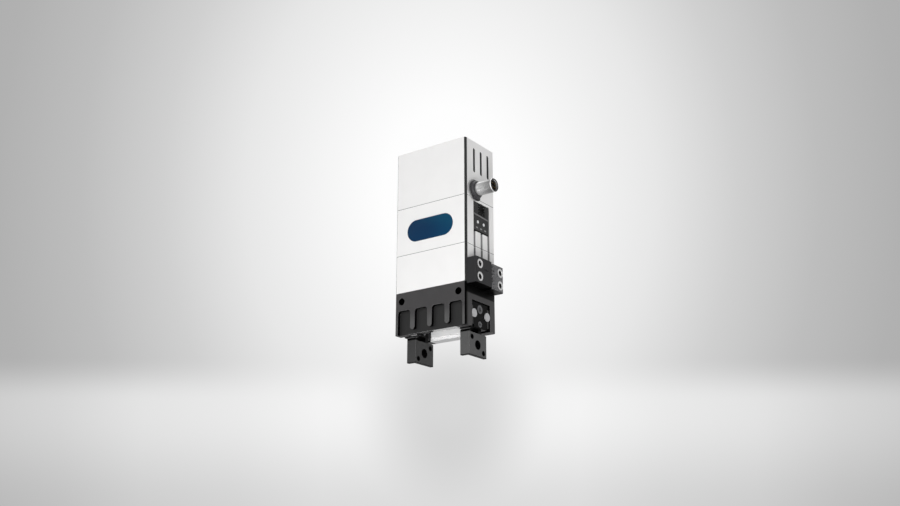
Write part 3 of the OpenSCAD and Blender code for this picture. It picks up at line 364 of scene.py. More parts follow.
base_low, base_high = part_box("base_housing")
rail_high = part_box("rear_guide_rail")[1]
skin = 0.05 * mm
slack = 0.1 * mm
pocket_depth = 2.1 * mm
pocket_h = 12.8 * mm
channel_roof_t = 2 * mm
deck_rise = 3 * mm
deck_half_l = 16.9 * mm
mount_hole_r = 2.2 * mm
corner_w = 0.8 * mm
corner_d = 1.6 * mm
shade_h = 6.6 * mm
shade_fade = 0.8 * mm


def base_tones(f, colour):
    """A painted highlight on the ribs' fronts towards their lower ends, painted shade in the pockets, and
    bare metal in the channel between the rails, painted near white as a painted reflection.
    """
    # Painted highlight: the ribs' fronts are lighter towards their lower ends.
    rib_highlight_fade = f.step(f.z, base_low.z + pocket_h, base_low.z + 0.4 * pocket_h)
    rib_highlight = (f.y < (base_low.y + skin)) * rib_highlight_fade
    colour = f.mix(rib_highlight, colour, grey(0.075))
    # Painted shade in the pockets.
    pocket_shade = (f.y > (base_low.y + slack)) * (f.y < (base_low.y + pocket_depth + slack))
    colour = f.mix(pocket_shade, colour, grey(0.014))
    # Bare metal painted near white: a painted reflection of the light from below.
    between_rails = (abs(f.y) < (rail_high.y + slack)) * (f.z < (base_high.z - channel_roof_t))
    bare_painted_sheen = between_rails * (abs(f.x) < deck_half_l)
    return f.mix(bare_painted_sheen, colour, f.mix(f.noise(0.3, stretch=(0.05, 1, 1)), grey(0.74), grey(0.90)))


def lapped_sole_painted_sheen(f):
    """The underside of the base between the jaws' ends: bare and lapped, painted near white as a painted
    reflection of the light from below.
    """
    return (f.z < (base_low.z + skin)) * (abs(f.x) < deck_half_l)


def base_painted_shade(f):
    """Painted shade, black with no shine: the pockets' walls, the mounting holes, the channel's mouths and
    a painted shadow on the side under the bracket; and a painted dark reflection on the front corners. The
    rule for the holes also blackens a patch of the rear corners' chamfers."""
    on_wall = (f.y > (base_low.y + slack)) * (f.y < (base_low.y + pocket_depth - slack))
    shade_foot = base_high.z - shade_h
    # Painted shadow of the bracket on the base's side.
    painted_bracket_shadow = (f.x > (base_high.x - skin)) * f.step(f.z, shade_foot, shade_foot + shade_fade)
    # Painted dark reflection on the front corners' chamfers.
    base_corner_reflection = (abs(f.x) > (base_high.x - corner_w)) * (f.y < (base_low.y + corner_d))
    inside = abs(f.x) < (base_high.x - skin)
    below_deck = f.z < (rail_high.z + deck_rise)
    past_deck = abs(f.x) > deck_half_l
    in_mouth = below_deck * past_deck * (abs(f.y) < (rail_high.y + slack))
    in_hole = (abs(f.z) < mount_hole_r) * past_deck * (abs(f.y) < (base_high.y - slack))
    hidden = f.either(f.either(on_wall, in_hole), f.either(base_corner_reflection, in_mouth))
    return f.either(painted_bracket_shadow, hidden * inside)


base_finish = anodised(
    "base_black_anodising", (0.034, 0.033, 0.034, 1), (0.054, 0.052, 0.053, 1), (0.17, 0.17, 0.175, 1),
    0.46, metallic=0.15, edge=0.4, specular=0.25,
    tone=base_tones, painted_shade_and_pits=base_painted_shade, polished=lapped_sole_painted_sheen,
)
dress(base_finish, "base_housing")


# ---------- Guide rails ----------
# Hardened steel strips with a ground V groove, screwed against the walls of the base's channel.
# Their ends are blackened and carry small bright caps that keep the rollers in.
def ground_steel(name, deep, pale, roughness, stretch=(0.02, 1, 1), metallic=1.0, tone=None):
    """Steel ground along one direction, which leaves fine parallel scratches."""
    f = Finish(name)
    lines = f.noise(0.16, stretch=stretch, detail=4.0)
    cloud = f.noise(5, detail=2.0)
    soft = f.eased(0.15)
    colour = f.mix(lines * 0.7 + cloud * 0.3, deep, pale)
    if tone:
        colour = tone(f, colour)
    rough = roughness + (lines - 0.5) * 0.25
    return f.surface(Base_Color=colour, Roughness=rough, Metallic=metallic, Normal=f.bump(lines, 0.004, soft))


blackened_l = 2 * mm


def blackened_ends(f, colour):
    """Black oxide on both ends of a rail."""
    return f.mix(abs(f.x) > (rail_high.x - blackened_l), colour, grey(0.004))


rail_steel = ground_steel(
    "rail_ground_steel", grey(0.78), grey(0.90), 0.42, metallic=0.1, tone=blackened_ends,
)
dress(rail_steel, "front_guide_rail", "rear_guide_rail")


def plated(name, deep, pale, roughness, metallic=1.0, rim=(0.9, 0.9, 0.91, 1), tone=None):
    """Small turned parts: faint turning marks, edges rubbed towards the rim colour."""
    f = Finish(name)
    marks = f.noise(0.35, detail=4.0)
    soft = f.eased(0.12)
    colour = f.mix(marks, deep, pale)
    colour = f.mix(f.edges(soft) * 0.5, colour, rim)
    if tone:
        colour = tone(f, colour)
    rough = roughness + (marks - 0.5) * 0.2
    return f.surface(Base_Color=colour, Roughness=rough, Metallic=metallic, Normal=f.bump(marks, 0.003, soft))


dark_rim = (0.20, 0.20, 0.21, 1)
screw_steel = plated("screw_satin_steel", (0.42, 0.42, 0.44, 1), (0.62, 0.62, 0.64, 1), 0.32)
bright_steel = plated("polished_steel", (0.66, 0.66, 0.68, 1), (0.80, 0.80, 0.82, 1), 0.30, metallic=0.75)
black_screw = plated(
    "screw_black_oxide", (0.02, 0.02, 0.022, 1), (0.05, 0.05, 0.053, 1), 0.42, metallic=0.4, rim=dark_rim,
)
dress(screw_steel, "rail_screws")
cap_steel = plated("cap_dull_steel", (0.36, 0.36, 0.37, 1), (0.50, 0.50, 0.51, 1), 0.40, metallic=0.5)
dress(cap_steel, "race_end_caps")


# ---------- Carriages ----------
# Blackened and ground steel blocks, one for each jaw, that run between the rails on crossed rollers.
# Bronze cages keep the rollers apart and travel half as far as the carriages.
def shape(bm, sharp=35):
    """The bmesh as a finished mesh, smooth but for its edges sharper than that many degrees."""
    bmesh.ops.remove_doubles(bm, verts=bm.verts, dist=1e-7)
    bmesh.ops.recalc_face_normals(bm, faces=bm.faces)
    mesh = bpy.data.meshes.new("shape")
    bm.to_mesh(mesh)
    bm.free()
    mesh.polygons.foreach_set("use_smooth", [True] * len(mesh.polygons))
    mesh.set_sharp_from_angle(angle=math.radians(sharp))
    return mesh


def bridge(bm, loops, closed=False):
    """Quads between each loop of points and the next, and a cap on each end unless it is closed."""
    pairs = list(zip(loops, loops[1:] + loops[:1] if closed else loops[1:]))
    for one, other in pairs:
        for i, vert in enumerate(one):
            j = (i + 1) % len(one)
            bm.faces.new((vert, one[j], other[j], other[i]))
    if not closed:
        bm.faces.new(list(reversed(loops[0])))
        bm.faces.new(loops[-1])


outwards = Matrix.Rotation(math.radians(90), 3, "Y")


def turned(rings, segments=48, bore=None, centre=(0, 0, 0), sharp=35):
    """A body turned about X. Each ring is (radius, height), and a radius may be a rule of the angle.
    With a bore it is a sleeve."""
    if bore:
        rings = rings + [(bore, rings[-1][1]), (bore, rings[0][1])]
    bm = bmesh.new()
    loops = []
    for radius, height in rings:
        loop = []
        for i in range(segments):
            a = 2 * math.pi * i / segments
            r = radius(a) if callable(radius) else radius
            point = Vector((r * math.cos(a), r * math.sin(a), height))
            loop.append(bm.verts.new(Vector(centre) + outwards @ point))
        loops.append(loop)
    bridge(bm, loops, closed=bool(bore))
    return shape(bm, sharp)


def joined(*meshes):
    """Those meshes as one, with the material of the first."""
    bm = bmesh.new()
    for mesh in meshes:
        bm.from_mesh(mesh)
    whole = bpy.data.meshes.new("joined")
    bm.to_mesh(whole)
    bm.free()
    return whole


def add_piece(name, mesh, material, slot, body, *replaced):
    """Puts a finished mesh in the scene, riding on its body and standing in for CAD nodes."""
    mesh.name = name
    mesh.materials.clear()
    mesh.materials.append(material)
    piece = bpy.data.objects.new(name, mesh)
    bpy.context.scene.collection.objects.link(piece)
    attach(piece, body)
    if replaced:
        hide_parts(*replaced)
    return piece


class Row(Graph):
    """Geometry nodes that set copies of a shape in a row, each turned about X from the last. With a
    ring radius the copies stand round a ring about X. A seed gives each a turn of its own."""

    inputs = {
        "Shape": "Object", "Material": "Material", "Count": "Int", "Start": "Vector", "Step": "Vector",
        "Ring Radius": "Float", "First Turn": "Float", "Turn": "Float", "Stray Turn": "Float", "Seed": "Int",
    }

    def __init__(self):
        tree = bpy.data.node_groups.new("row_of_copies", "GeometryNodeTree")
        super().__init__(tree)
        self.ports = {}
        for label, kind in self.inputs.items():
            port = tree.interface.new_socket(label, in_out="INPUT", socket_type="NodeSocket" + kind)
            self.ports[label] = port.identifier
        tree.interface.new_socket("Copies", in_out="OUTPUT", socket_type="NodeSocketGeometry")
        given = self.node("NodeGroupInput")
        index = self.node("GeometryNodeInputIndex")
        angle = given["First Turn"] + given["Turn"] * index
        arm = given["Ring Radius"]
        ring = {1: angle.sum("SINE", angle) * arm * -1, 2: angle.sum("COSINE", angle) * arm}
        offset = self.node("ShaderNodeCombineXYZ", None, ring)
        along_row = self.vector("SCALE", {0: given["Step"], "Scale": index})
        place = self.vector("ADD", {0: self.vector("ADD", {0: given["Start"], 1: along_row}), 1: offset})
        points = self.node("GeometryNodePoints", None, {"Count": given["Count"], "Position": place})
        stray_limits = {2: given["Stray Turn"] * -1, 3: given["Stray Turn"], 7: index, 8: given["Seed"]}
        stray = self.node("FunctionNodeRandomValue", {"data_type": "FLOAT"}, stray_limits)[1]
        turning = self.node("ShaderNodeCombineXYZ", None, {0: angle + stray})
        shape_info = self.node("GeometryNodeObjectInfo", None, {"Object": given["Shape"]})["Geometry"]
        sockets = {"Points": points, "Instance": shape_info, "Rotation": turning}
        copies = self.node("GeometryNodeInstanceOnPoints", None, sockets)
        solid = self.node("GeometryNodeRealizeInstances", None, {0: copies})
        sockets = {"Geometry": solid, "Material": given["Material"]}
        dressed = self.node("GeometryNodeSetMaterial", None, sockets)
        self.node("NodeGroupOutput", None, {0: dressed})

    def vector(self, operation, sockets):
        return self.node("ShaderNodeVectorMath", {"operation": operation}, sockets)

    def copies(self, mesh, material, count, start, step=(0, 0, 0), ring=0.0,
               first=0.0, turn=0.0, stray=0.0, seed=1):
        """The row as one plain mesh; turns are in degrees."""
        copied = bpy.data.objects.new("copied_shape", mesh)
        host = bpy.data.objects.new("row_host", bpy.data.meshes.new("row_host"))
        for holder in (copied, host):
            bpy.context.scene.collection.objects.link(holder)
        values = {
            "Shape": copied, "Material": material, "Count": count, "Start": list(start), "Step": list(step),
            "Ring Radius": float(ring), "First Turn": math.radians(first), "Turn": math.radians(turn),
            "Stray Turn": math.radians(stray), "Seed": seed,
        }
        maker = host.modifiers.new("row", "NODES")
        maker.node_group = self.tree
        for label, value in values.items():
            maker[self.ports[label]] = value
        made = bpy.data.meshes.new_from_object(host.evaluated_get(bpy.context.evaluated_depsgraph_get()))
        host.modifiers.remove(maker)
        for holder in (copied, host):
            bpy.data.objects.remove(holder)
        return made


row = Row()


def round_bar(r, start, end, ease, segments=32):
    """A bar along X with rounded rims."""
    rings = [(r - ease, start), (r - 0.3 * ease, start + 0.3 * ease), (r, start + ease)]
    rings += [(r, end - ease), (r - 0.3 * ease, end - 0.3 * ease), (r - ease, end)]
    return turned(rings, segments)


carriage_end_l = 0.6 * mm


def carriage_end_shade(f, colour):
    """Painted shade: the outer end, down in the channel's mouth, is near black."""
    return f.mix(abs(f.x) > (rail_high.x - carriage_end_l), colour, grey(0.001))


carriage_steel = ground_steel(
    "carriage_blackened_steel", (0.016, 0.016, 0.017, 1), (0.030, 0.030, 0.032, 1), 0.42,
    tone=carriage_end_shade,
)
dress(carriage_steel, "right_carriage", "left_carriage")
cage_bronze = plated("cage_bronze", (0.45, 0.30, 0.12, 1), (0.60, 0.42, 0.18, 1), 0.35)
dress(cage_bronze, "right_roller_cages", "left_roller_cages")

roller_r = 1.25 * mm
roller_l = 2.3 * mm
roller_ease = 0.12 * mm
rollers_in_race = 3
upright = Matrix.Rotation(math.radians(-90), 4, "Y")
for side in ("right", "left"):
    low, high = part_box(side + "_rollers")
    roller = round_bar(roller_r, -roller_l / 2, roller_l / 2, roller_ease)
    roller.transform(upright)
    pitch = (high.x - low.x - 2 * roller_r) / (rollers_in_race - 1)
    race_y = high.y - (roller_l / 2 + roller_r) / math.sqrt(2)
    races = [
        row.copies(roller, bright_steel, rollers_in_race, (low.x + roller_r, y, (low.z + high.z) / 2),
                   step=(pitch, 0, 0), first=45, turn=90)
        for y in (-race_y, race_y)
    ]
    add_piece(side + "_crossed_rollers", joined(*races), bright_steel, "bright_steel", side + "_cages",
              side + "_rollers")


# ---------- Jaws ----------
# Anodised aluminium angles screwed under the carriages, the right one painted lighter than the left as
# painted light and shade.
# Each has a threaded hole for a finger's screw and two dowel holes that stop the finger from turning.
jaw_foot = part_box("left_jaw")[0].z
finger_hole_r = 2.5 * mm
finger_hole_z = base_low.z - 8.9 * mm
dowel_hole_r = 1.3 * mm
dowel_y = 5.6 * mm
dowel_z = 3.9 * mm
rim = 0.25 * mm
shaded_neck_h = 2.3 * mm
foot_edge_h = 0.3 * mm


def jaw_painted_shade(f):
    """Painted shade, black with no shine: in the holes and their rims, along the lower edge, and on the neck
    up in the shade of the base. The rule for the dowel holes also blackens a patch of the front leg beside
    them."""
    from_axis = ((f.y * f.y) + (f.z - finger_hole_z) ** 2) ** 0.5
    from_dowel = ((abs(f.y) - dowel_y) ** 2 + (abs(f.z - finger_hole_z) - dowel_z) ** 2) ** 0.5
    on_diagonal = (f.y * (f.z - finger_hole_z) * f.x) < 0
    in_hole = f.either(from_axis < (finger_hole_r + rim), (from_dowel < (dowel_hole_r + rim)) * on_diagonal)
    return f.either(in_hole, f.either(f.z > (base_low.z - shaded_neck_h), f.z < (jaw_foot + foot_edge_h)))


# Lit and shaded copies of one anodising: the right jaw is painted lighter and the left darker.
for side, deep, pale in (("right", grey(0.050), grey(0.085)), ("left", grey(0.024), grey(0.040))):
    jaw_finish = anodised(
        side + "_jaw_anodising", deep, pale, grey(0.22), 0.46, metallic=0.2, specular=0.3,
        painted_shade_and_pits=jaw_painted_shade,
    )
    dress(jaw_finish, side + "_jaw")
jaw_screw_steel = plated(
    "jaw_screw_steel", (0.07, 0.07, 0.074, 1), (0.11, 0.11, 0.115, 1), 0.45, metallic=0.3, rim=dark_rim,
)
dress(jaw_screw_steel, "right_jaw_screws", "left_jaw_screws")


# ---------- Racks, pinion and gearhead ----------
# Case-hardened racks screwed to the carriages mesh with one pinion between them, so the jaws move
# together. A planetary gearhead with bronze planets turns the pinion, and its shafts run in bearings.
gear_steel = ground_steel("gear_cut_steel", grey(0.42), grey(0.60), 0.34, stretch=(1, 1, 0.05), metallic=0.7)
dress(gear_steel, "right_rack", "left_rack", "drive_pinion")
dress(gear_steel, "sun_gear", "ring_gear", "planet_carrier", "carrier_ring")
dress(cage_bronze, "planet_gear_a", "planet_gear_b", "planet_gear_c")
dress(black_screw, "right_rack_screws", "left_rack_screws", "pinion_clip")
dress(bright_steel, "pinion_bearing", "carrier_bearing", "planet_pins")


# ---------- Motor ----------
# A brushless motor stands on the gearhead: a blackened steel can round a stack of stator sheets wound
# with copper, and a nickel-plated magnet on a ground shaft. A second magnet on the shaft's end is read
# by the encoder board.
can_steel = ground_steel(
    "motor_can_steel", (0.06, 0.06, 0.07, 1), (0.12, 0.12, 0.13, 1), 0.34, stretch=(1, 1, 0.05),
)
dress(can_steel, "motor_case")
dress(bright_steel, "motor_bearings", "motor_shaft")
lamination_steel = ground_steel(
    "stator_lamination", (0.25, 0.26, 0.28, 1), (0.40, 0.41, 0.44, 1), 0.42, stretch=(0.05, 0.05, 3),
)
dress(lamination_steel, "stator_core")
magnet_grey = plated("magnet_nickel", (0.18, 0.18, 0.20, 1), (0.26, 0.26, 0.28, 1), 0.30)
dress(magnet_grey, "rotor_magnet", "encoder_magnet")


def winding(name):
    """Enamelled copper wire, laid side by side round the teeth."""
    f = Finish(name)
    sockets = {"Vector": f.at, "Scale": 900.0, "Distortion": 0.4}
    wires = f.node("ShaderNodeTexWave", {"bands_direction": "Z"}, sockets)[1]
    colour = f.mix(wires, (0.28, 0.10, 0.03, 1), (0.72, 0.32, 0.12, 1))
    return f.surface(Base_Color=colour, Roughness=0.3, Metallic=0.8, Normal=f.bump(wires, 0.05, f.face))


dress(winding("coil_copper"), "stator_coils")


# ---------- Housings ----------
# Three blasted and clear-anodised aluminium sleeves stacked on the base: gearhead, motor, electronics.
# Their front corners are painted dark as a painted reflection on the chamfers, and a fine joint shows
# where one sleeve stands on the next, with a painted highlight just below it.
seams = [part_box("gearhead_housing")[1].z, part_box("motor_housing")[1].z]
side_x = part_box("motor_housing")[1].x
front_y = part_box("motor_housing")[0].y
strip_from_side = 0.8 * mm
strip_from_front = 1.9 * mm
groove_skin = 0.3 * mm
seam_half_h = 0.2 * mm
highlight_drop = 0.30 * mm
highlight_half_h = 0.14 * mm


def corners_and_joints(f, colour):
    """The front corners painted dark as a painted reflection, painted shade in the grooves (darker above the
    upper joint), and at each joint a grey line above a painted highlight. The rule for the grooves also
    darkens the rear corners' chamfers."""
    # Painted dark reflection on the front corners' chamfers.
    sleeve_corner_reflection = (abs(f.x) > (side_x - strip_from_side)) * (f.y < (front_y + strip_from_front))
    inside = (abs(f.x) < (side_x - groove_skin)) * (abs(f.y) < (-front_y - groove_skin))
    # Painted shade in the grooves, darker above the upper joint.
    groove_shade = f.mix(f.z > seams[1], grey(0.38), grey(0.06))
    colour = f.mix(inside, colour, groove_shade)
    for z in seams:
        colour = f.mix(abs(f.z - z) < seam_half_h, colour, grey(0.22))
        # Painted highlight: a bright line just below each joint.
        colour = f.mix(abs(f.z - z + highlight_drop) < highlight_half_h, colour, grey(0.93))
    return f.mix(sleeve_corner_reflection, colour, grey(0.012))


sleeve_finish = anodised(
    "sleeve_clear_anodising", (0.78, 0.775, 0.77, 1), (0.85, 0.845, 0.84, 1), (0.90, 0.90, 0.90, 1),
    0.48, metallic=0.15, edge=0.12, specular=0.4, tone=corners_and_joints,
)
dress(sleeve_finish, "gearhead_housing", "motor_housing", "electronics_housing")
cover_finish = anodised(
    "cover_clear_anodising", (0.70, 0.71, 0.72, 1), (0.80, 0.805, 0.81, 1), (0.9, 0.9, 0.91, 1),
    0.44, metallic=0.2, edge=0.12,
)
dress(cover_finish, "top_cover", "motor_flange", "motor_end_bell")
dress(black_screw, "tie_screws", "top_cover_screws")


# ---------- Front badge ----------
# A bare enamelled capsule on the front of the motor sleeve, dark blue, painted lighter to the right and
# towards its top as painted light.
# It is stuck on and stands a little proud, with a rounded rim.
badge_w = 32.6 * mm
badge_h = 13.2 * mm
badge_t = 0.35 * mm
badge_rim = 0.25 * mm
badge_z = 41.4 * mm
badge_turns = 24


def capsule(bm, inset, y):
    """A loop of points round a capsule that is drawn in by the inset."""
    r = badge_h / 2 - inset
    half = badge_w / 2 - badge_h / 2
    loop = []
    for side in (1, -1):
        for i in range(badge_turns + 1):
            a = math.pi * (i / badge_turns - 0.5)
            loop.append(bm.verts.new((side * (half + r * math.cos(a)), y, badge_z + side * r * math.sin(a))))
    return loop


bm = bmesh.new()
badge_loops = [
    capsule(bm, 0, front_y + 0.05 * mm),
    capsule(bm, 0, front_y - badge_t + badge_rim),
    capsule(bm, 0.3 * badge_rim, front_y - badge_t + 0.3 * badge_rim),
    capsule(bm, badge_rim, front_y - badge_t),
]
bridge(bm, badge_loops)


def enamel(name):
    """Blue stoved enamel, with painted light: lighter towards its right end and its top edge."""
    f = Finish(name)
    # Painted light: lighter towards the right end and the top edge.
    run = f.step(f.x, -0.1 * badge_w, 0.48 * badge_w)
    colour = f.mix(run, (0.004, 0.029, 0.078, 1), (0.003, 0.040, 0.096, 1))
    painted_top_light = f.step(f.z - badge_z + f.x * 0.35, -0.1 * badge_h, 0.9 * badge_h)
    colour = f.mix(painted_top_light * 0.5, colour, (0.005, 0.075, 0.13, 1))
    ripple = f.noise(1.5, detail=2.0)
    rough = 0.30 + ripple * 0.10
    return f.surface(Base_Color=colour, Roughness=rough, Coat_Weight=0.02, Specular_IOR_Level=0.06,
                     Normal=f.bump(ripple, 0.004, f.eased(0.1)))


add_piece("front_badge", shape(bm), enamel("badge_blue_enamel"), "light_lens", "housing")


# ---------- Round connector ----------
# A turned M8 plug screwed into the side of the upper sleeve: grey flange and dark ribbed collar with a
# key at the bottom, plated barrel with a fine outside thread, black insert deep in its mouth, four pins.
shell_low, shell_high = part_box("connector_shell")
collar_low, collar_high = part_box("connector_collar")
pins_low, pins_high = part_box("connector_pins")
plug_y = (shell_low.y + shell_high.y) / 2
plug_z = (shell_low.z + shell_high.z) / 2
plug_r = (shell_high.y - shell_low.y) / 2
collar_r = (collar_high.y - collar_low.y) / 2
plug_centre = (0, plug_y, plug_z)

flange_t = 0.8 * mm
flange_finish = plated("flange_grey_steel", grey(0.26), grey(0.36), 0.42, metallic=0.4)
flange_rings = [
    (collar_r, collar_low.x),
    (collar_r, collar_low.x + flange_t - 0.2 * mm),
    (collar_r - 0.2 * mm, collar_low.x + flange_t),
]
flange = turned(flange_rings, 96, bore=plug_r - 0.4 * mm, centre=plug_centre)
add_piece("connector_flange", flange, flange_finish, "screw_steel", "housing")

grip_r = collar_r - 1.15 * mm
grip_start = collar_low.x + flange_t
collar_rings = [
    (grip_r - 0.2 * mm, grip_start),
    (grip_r - 0.2 * mm, collar_high.x - 0.9 * mm),
    (grip_r - 0.5 * mm, collar_high.x - 0.3 * mm),
    (grip_r - 0.9 * mm, collar_high.x),
]
rib_count = 30
rib = round_bar(0.30 * mm, grip_start + 0.1 * mm, collar_high.x - 1.0 * mm, 0.15 * mm, 12)
ribs = row.copies(rib, black_screw, rib_count, plug_centre, ring=grip_r - 0.15 * mm, turn=360 / rib_count)


def bar(size, ease, tilt=0):
    """A small bar with rounded edges, centred, that leans by that angle about X."""
    bm = bmesh.new()
    bmesh.ops.create_cube(bm, size=1)
    bmesh.ops.scale(bm, vec=Vector(size), verts=bm.verts)
    bmesh.ops.bevel(bm, geom=bm.edges[:], offset=ease, segments=2, affect="EDGES")
    bmesh.ops.rotate(bm, cent=(0, 0, 0), matrix=Matrix.Rotation(tilt, 3, "X"), verts=bm.verts)
    return shape(bm)


key_size = Vector((1.9 * mm, 5.6 * mm, 2.4 * mm))
key_z = plug_z - collar_r + key_size.z / 2 + 0.2 * mm
key = bar(key_size, 0.3 * mm)
key.transform(Matrix.Translation((grip_start + key_size.x / 2, plug_y, key_z)))
collar = turned(collar_rings, 96, bore=plug_r - 0.4 * mm, centre=plug_centre)
add_piece("connector_ribbed_collar", joined(collar, ribs, key), black_screw, "black_screw", "housing",
          "connector_collar")

thread_pitch = 1.0 * mm
thread_depth = 0.30 * mm
thread_start = collar_high.x + 0.8 * mm
thread_end = shell_high.x - 0.9 * mm
rings_per_turn = 8
insert_low, insert_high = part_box("connector_insert")
bore_r = (insert_high.y - insert_low.y) / 2 + 0.05 * mm


def thread_ring(x):
    """A ring of the threaded barrel: the thread winds round it and fades out at both ends."""
    fade = max(0, min(1, (x - thread_start) / thread_pitch, (thread_end - x) / thread_pitch))

    def flank(a):
        turn = (x / thread_pitch - a / (2 * math.pi)) % 1
        return plug_r - 0.05 * mm - thread_depth * fade * (1 - min(1, 1.25 * abs(2 * turn - 1)))

    return (flank, x)


ring_count = int((thread_end - thread_start) / thread_pitch * rings_per_turn)
barrel_rings = [(plug_r - 0.35 * mm, shell_low.x), (plug_r - 0.35 * mm, thread_start - 0.2 * mm)]
for i in range(ring_count + 1):
    barrel_rings.append(thread_ring(thread_start + (thread_end - thread_start) * i / ring_count))
barrel_rings += [(plug_r - 0.05 * mm, shell_high.x - 0.35 * mm), (plug_r - 0.35 * mm, shell_high.x)]


def barrel_tones(f, colour):
    """A thread that darkens towards the mouth, a painted highlight in a bright band before the mouth, and a
    near-black rim.
    """
    threaded = f.step(f.x, thread_start, thread_start + thread_pitch) * (f.x < thread_end)
    colour = f.mix(threaded, colour, f.mix(f.step(f.x, thread_start, thread_end), grey(0.50), grey(0.22)))
    # Painted highlight: a bright band before the mouth.
    colour = f.mix(f.x > thread_end, colour, grey(0.88))
    return f.mix(f.x > (shell_high.x - 0.3 * mm), colour, grey(0.01))


barrel_finish = plated("barrel_nickel", grey(0.50), grey(0.66), 0.30, metallic=0.7, tone=barrel_tones)
barrel = turned(barrel_rings, 48, bore=bore_r, centre=plug_centre, sharp=60)
add_piece("connector_threaded_barrel", barrel, barrel_finish, "bright_steel", "housing", "connector_shell")


def moulded(name, deep, pale, roughness, specular=0.5, tone=None):
    """Injection-moulded plastic with a fine spark-eroded texture."""
    f = Finish(name)
    pits = f.noise(0.12, detail=4.0)
    cloud = f.noise(4, detail=2.0)
    soft = f.eased(0.12)
    colour = f.mix(cloud * 0.5 + pits * 0.5, deep, pale)
    if tone:
        colour = tone(f, colour)
    rough = roughness + (pits - 0.5) * 0.2
    return f.surface(Base_Color=colour, Roughness=rough, Specular_IOR_Level=specular,
                     Normal=f.bump(pits, 0.008, soft))


insert_plastic = moulded("insert_black", grey(0.002), grey(0.005), 0.6, specular=0.1)
dress(insert_plastic, "connector_insert")
# The gold is painted dark as painted shade, for pins deep in the mouth.
gold_in_painted_shade = plated("contact_gold", (0.05, 0.035, 0.015, 1), (0.10, 0.07, 0.03, 1), 0.35, rim=(0.12, 0.09, 0.05, 1))
pin_r = 0.5 * mm
pin_circle_r = ((pins_high.y - pins_low.y) / 2 - pin_r) * math.sqrt(2)
pin_rings = [
    (pin_r, pins_low.x),
    (pin_r, pins_high.x - 0.5 * mm),
    (0.85 * pin_r, pins_high.x - 0.2 * mm),
    (0.4 * pin_r, pins_high.x),
]
pins = row.copies(turned(pin_rings, 24), gold_in_painted_shade, 4, plug_centre, ring=pin_circle_r, first=45, turn=90)
add_piece("connector_round_pins", pins, gold_in_painted_shade, "gold_contact", "housing", "connector_pins")


# ---------- Control panel ----------
# A black moulded plate let into the right side of the motor sleeve, with a rotary selector in a dark
# square, its scale, a raised rib, two status lights and three small marks under them.
panel_low, panel_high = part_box("control_panel")
selector_low, selector_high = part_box("selector")
selector_y = (selector_low.y + selector_high.y) / 2
selector_z = (selector_low.z + selector_high.z) / 2
half_square = 3.3 * mm
rib_z = panel_low.z + 10.1 * mm
rib_tilt = math.radians(-3)


def panel_tones(f, colour):
    """A near-black square round the selector, a lighter lower band, and a near-black strip along the bottom
    edge.
    """
    square = (abs(f.y - selector_y) < half_square) * (abs(f.z - selector_z) < half_square)
    colour = f.mix(f.step(f.z, panel_low.z + 5.0 * mm, panel_low.z + 1.5 * mm), colour, grey(0.055))
    colour = f.mix(f.z < (panel_low.z + 0.9 * mm), colour, grey(0.004))
    return f.mix(square, colour, grey(0.001))


panel_plastic = moulded("panel_black", grey(0.020), grey(0.055), 0.5, specular=0.08, tone=panel_tones)
selector_plastic = moulded("selector_black", grey(0.002), grey(0.006), 0.5, specular=0.08)
dress(panel_plastic, "control_panel")
dress(selector_plastic, "selector")

print_grey = moulded("panel_print", grey(0.20), grey(0.32), 0.5)
tick = bar((0.10 * mm, 0.16 * mm, 0.45 * mm), 0.03 * mm)
scale_start = (panel_high.x, selector_y, selector_z)
scale = row.copies(tick, print_grey, 10, scale_start, ring=2.85 * mm, first=-150, turn=300 / 9)
add_piece("selector_scale", scale, print_grey, "light_lens", "housing")
mark = bar((0.10 * mm, 1.8 * mm, 0.8 * mm), 0.04 * mm)
marks_start = (panel_high.x, panel_low.y + 3.4 * mm, panel_low.z + 2.6 * mm)
marks = row.copies(mark, print_grey, 3, marks_start, step=(0, 4.2 * mm, 0), stray=4, seed=5)
add_piece("panel_marks", marks, print_grey, "light_lens", "housing")
rib_w = panel_high.y - panel_low.y - 0.4 * mm
panel_rib = bar((0.5 * mm, rib_w, 0.8 * mm), 0.12 * mm, rib_tilt)
panel_rib.transform(Matrix.Translation((panel_high.x, (panel_low.y + panel_high.y) / 2, rib_z)))
rib_plastic = moulded("panel_rib_grey", grey(0.11), grey(0.17), 0.5)
add_piece("panel_rib", panel_rib, rib_plastic, "black_plastic", "housing")


def lens(name):
    """Milky moulded light covers, lit faintly from behind."""
    f = Finish(name)
    cells = f.noise(0.5, detail=2.0)
    colour = f.mix(cells, (0.60, 0.61, 0.62, 1), (0.72, 0.73, 0.74, 1))
    return f.surface(Base_Color=colour, Roughness=0.30 + cells * 0.1, Coat_Weight=0.2,
                     Emission_Color=colour, Emission_Strength=0.08, Normal=f.bump(cells, 0.004, f.face))


dress(lens("status_lens"), "status_lights")


# ---------- Boards ----------
# Glass-fibre boards with a green solder mask: encoder and control boards in the head, which stand on
# steel posts, and the panel's own board behind its plate.
def solder_mask(name):
    """Green lacquer over copper tracks, which show as raised blocks."""
    f = Finish(name)
    tracks = f.node("ShaderNodeTexBrick", None, {"Vector": f.at, "Scale": 700.0, "Mortar Size": 0.06})["Fac"]
    colour = f.mix(tracks, (0.010, 0.085, 0.035, 1), (0.030, 0.16, 0.070, 1))
    return f.surface(Base_Color=colour, Roughness=0.35, Normal=f.bump(tracks, 0.02, f.face))


dress(solder_mask("board_green_mask"), "encoder_board", "control_board", "panel_board")
dress(screw_steel, "board_standoffs")


